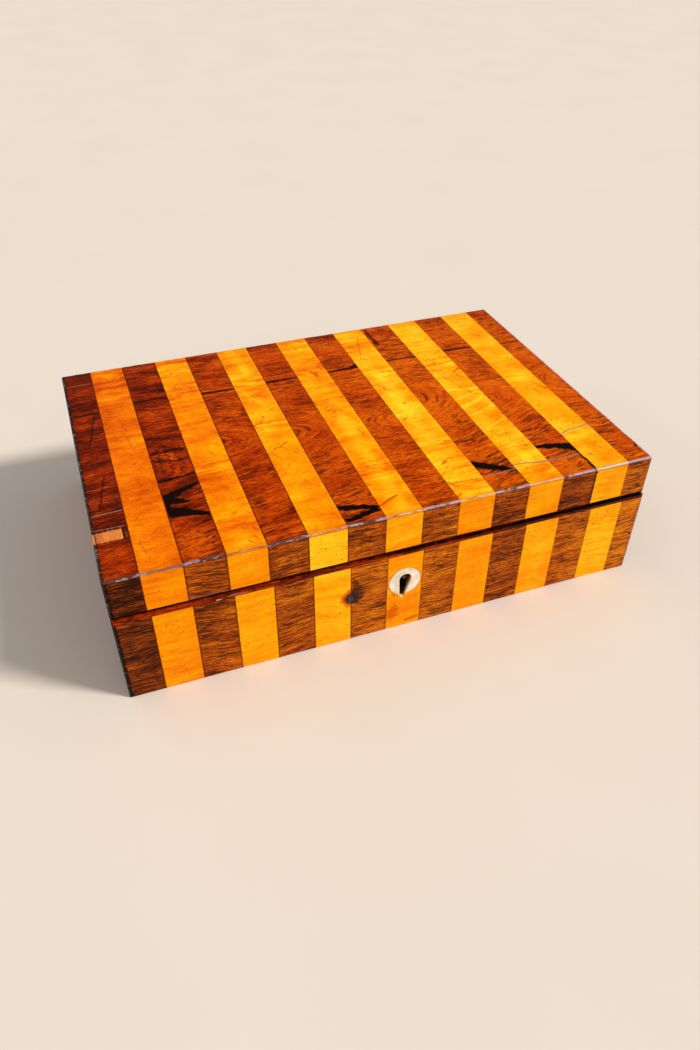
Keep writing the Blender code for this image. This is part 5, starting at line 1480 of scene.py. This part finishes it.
screw_from_axis = 5.2 * MM
screw_sunk = 0.56 * MM
screw_proud = 0.04 * MM
for side_number, side in enumerate(("left", "right")):
    pin_low, pin_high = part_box(f"hinge_{side}_pin")
    for half, direction in (("base", slope_up), ("lid", -slope_up)):
        along_leaf = Vector((0, -slope_up.z, slope_up.y)) * screw_from_axis
        centre = (pin_low + pin_high) / 2 + along_leaf - direction * screw_sunk
        add_screws(f"hinge_{side}_{half}_screws", f"hinge_{side}_{half}_leaf", direction, centre, brass,
                   Seed=3 + 2 * side_number + (half == "lid"))
for node, direction, from_end, material in (("lock_case", slope_up, 3.5 * MM, iron),
                                            ("link_plate", -slope_up, 3.0 * MM, brass)):
    low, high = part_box(node)
    centre = middle_on(node, direction) + direction * screw_proud
    add_screws(f"{node}_screws", node, direction, centre, material, Count=2,
               Spacing=high.x - low.x - 2 * from_end, Seed=9)

# %% [markdown]
# ## The tooled border of the leather
#
# A bookbinder's brass tools pressed gold leaf into the leather: two thin lines, called fillets, with a row of
# small flowers between them and a larger one inside each corner. All of it follows a rectangle, so curves
# do the work: the lines sweep a small round along it, and the flowers stand at even steps of its length.

# %% Maker: a tooled border
graph, given = new_maker("tooled border", {
    "Width": 0.2, "Height": 0.1, "Band": 4.0 * MM, "Pitch": 4.4 * MM, "Petal": 0.62 * MM, "Line": 0.13 * MM,
    "Place": (0.0, 0.0, 0.0), "Turn": (0.0, 0.0, 0.0)})


def rectangle(inset):
    """The border's rectangle, made smaller by so many bands."""
    width, height = [given["Band"] * (-2.0 * inset) + given[side] for side in ("Width", "Height")]
    return graph.out("GeometryNodeCurvePrimitiveQuadrilateral", {"Width": width, "Height": height})


profile = graph.out("GeometryNodeCurvePrimitiveCircle", {"Resolution": 6, "Radius": given["Line"]})
parts = [graph.out("GeometryNodeCurveToMesh", {"Curve": rectangle(inset), "Profile Curve": profile})
         for inset in (0.0, 1.0)]
petal = graph.out("GeometryNodeMeshCylinder", {
    "Vertices": 6, "Radius": given["Petal"], "Depth": given["Line"]})
heart = graph.out("GeometryNodeMeshCylinder", {
    "Vertices": 6, "Radius": given["Petal"] * 0.6, "Depth": given["Line"] * 1.6})
ring = graph.out("GeometryNodeMeshCircle", {"Vertices": 4, "Radius": given["Petal"] * 1.35})
petals = graph.out("GeometryNodeInstanceOnPoints", {"Points": ring, "Instance": petal})
flower = graph.gather("GeometryNodeJoinGeometry", 0, (petals, heart))
for inset, settings, size in ((0.5, {"Length": given["Pitch"]}, 1.0), (1.75, {}, 2.1)):
    spots = graph.out("GeometryNodeCurveToPoints", {"Curve": rectangle(inset), **settings},
                      mode="LENGTH" if settings else "EVALUATED")
    parts.append(graph.out("GeometryNodeInstanceOnPoints", {
        "Points": spots, "Instance": flower, "Scale": (size, size, 1.0)}))
border = graph.gather("GeometryNodeJoinGeometry", 0, parts)
finish_maker(graph, given, moved(border, given["Place"], Rotation=given["Turn"]))
print("maker inputs:", ", ".join(given))

# %% Gilding on both leathers
border_inset = 6.0 * MM
for half, direction in (("base", slope_up), ("lid", -slope_up)):
    node = f"{half}_flap_leather"
    low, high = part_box(node)
    mesh = grow("tooled border", gold_leaf, Width=high.x - low.x - 2 * border_inset,
                Height=(high.y - low.y) / slope_up.z - 2 * border_inset,
                Place=tuple(middle_on(node, direction)), Turn=(slope_turn, 0.0, 0.0))
    gilding = ride_with(add_mesh_piece(f"{half}_leather_gilding", mesh, gold_leaf), node)
    print(gilding.name, "faces:", len(gilding.data.polygons))
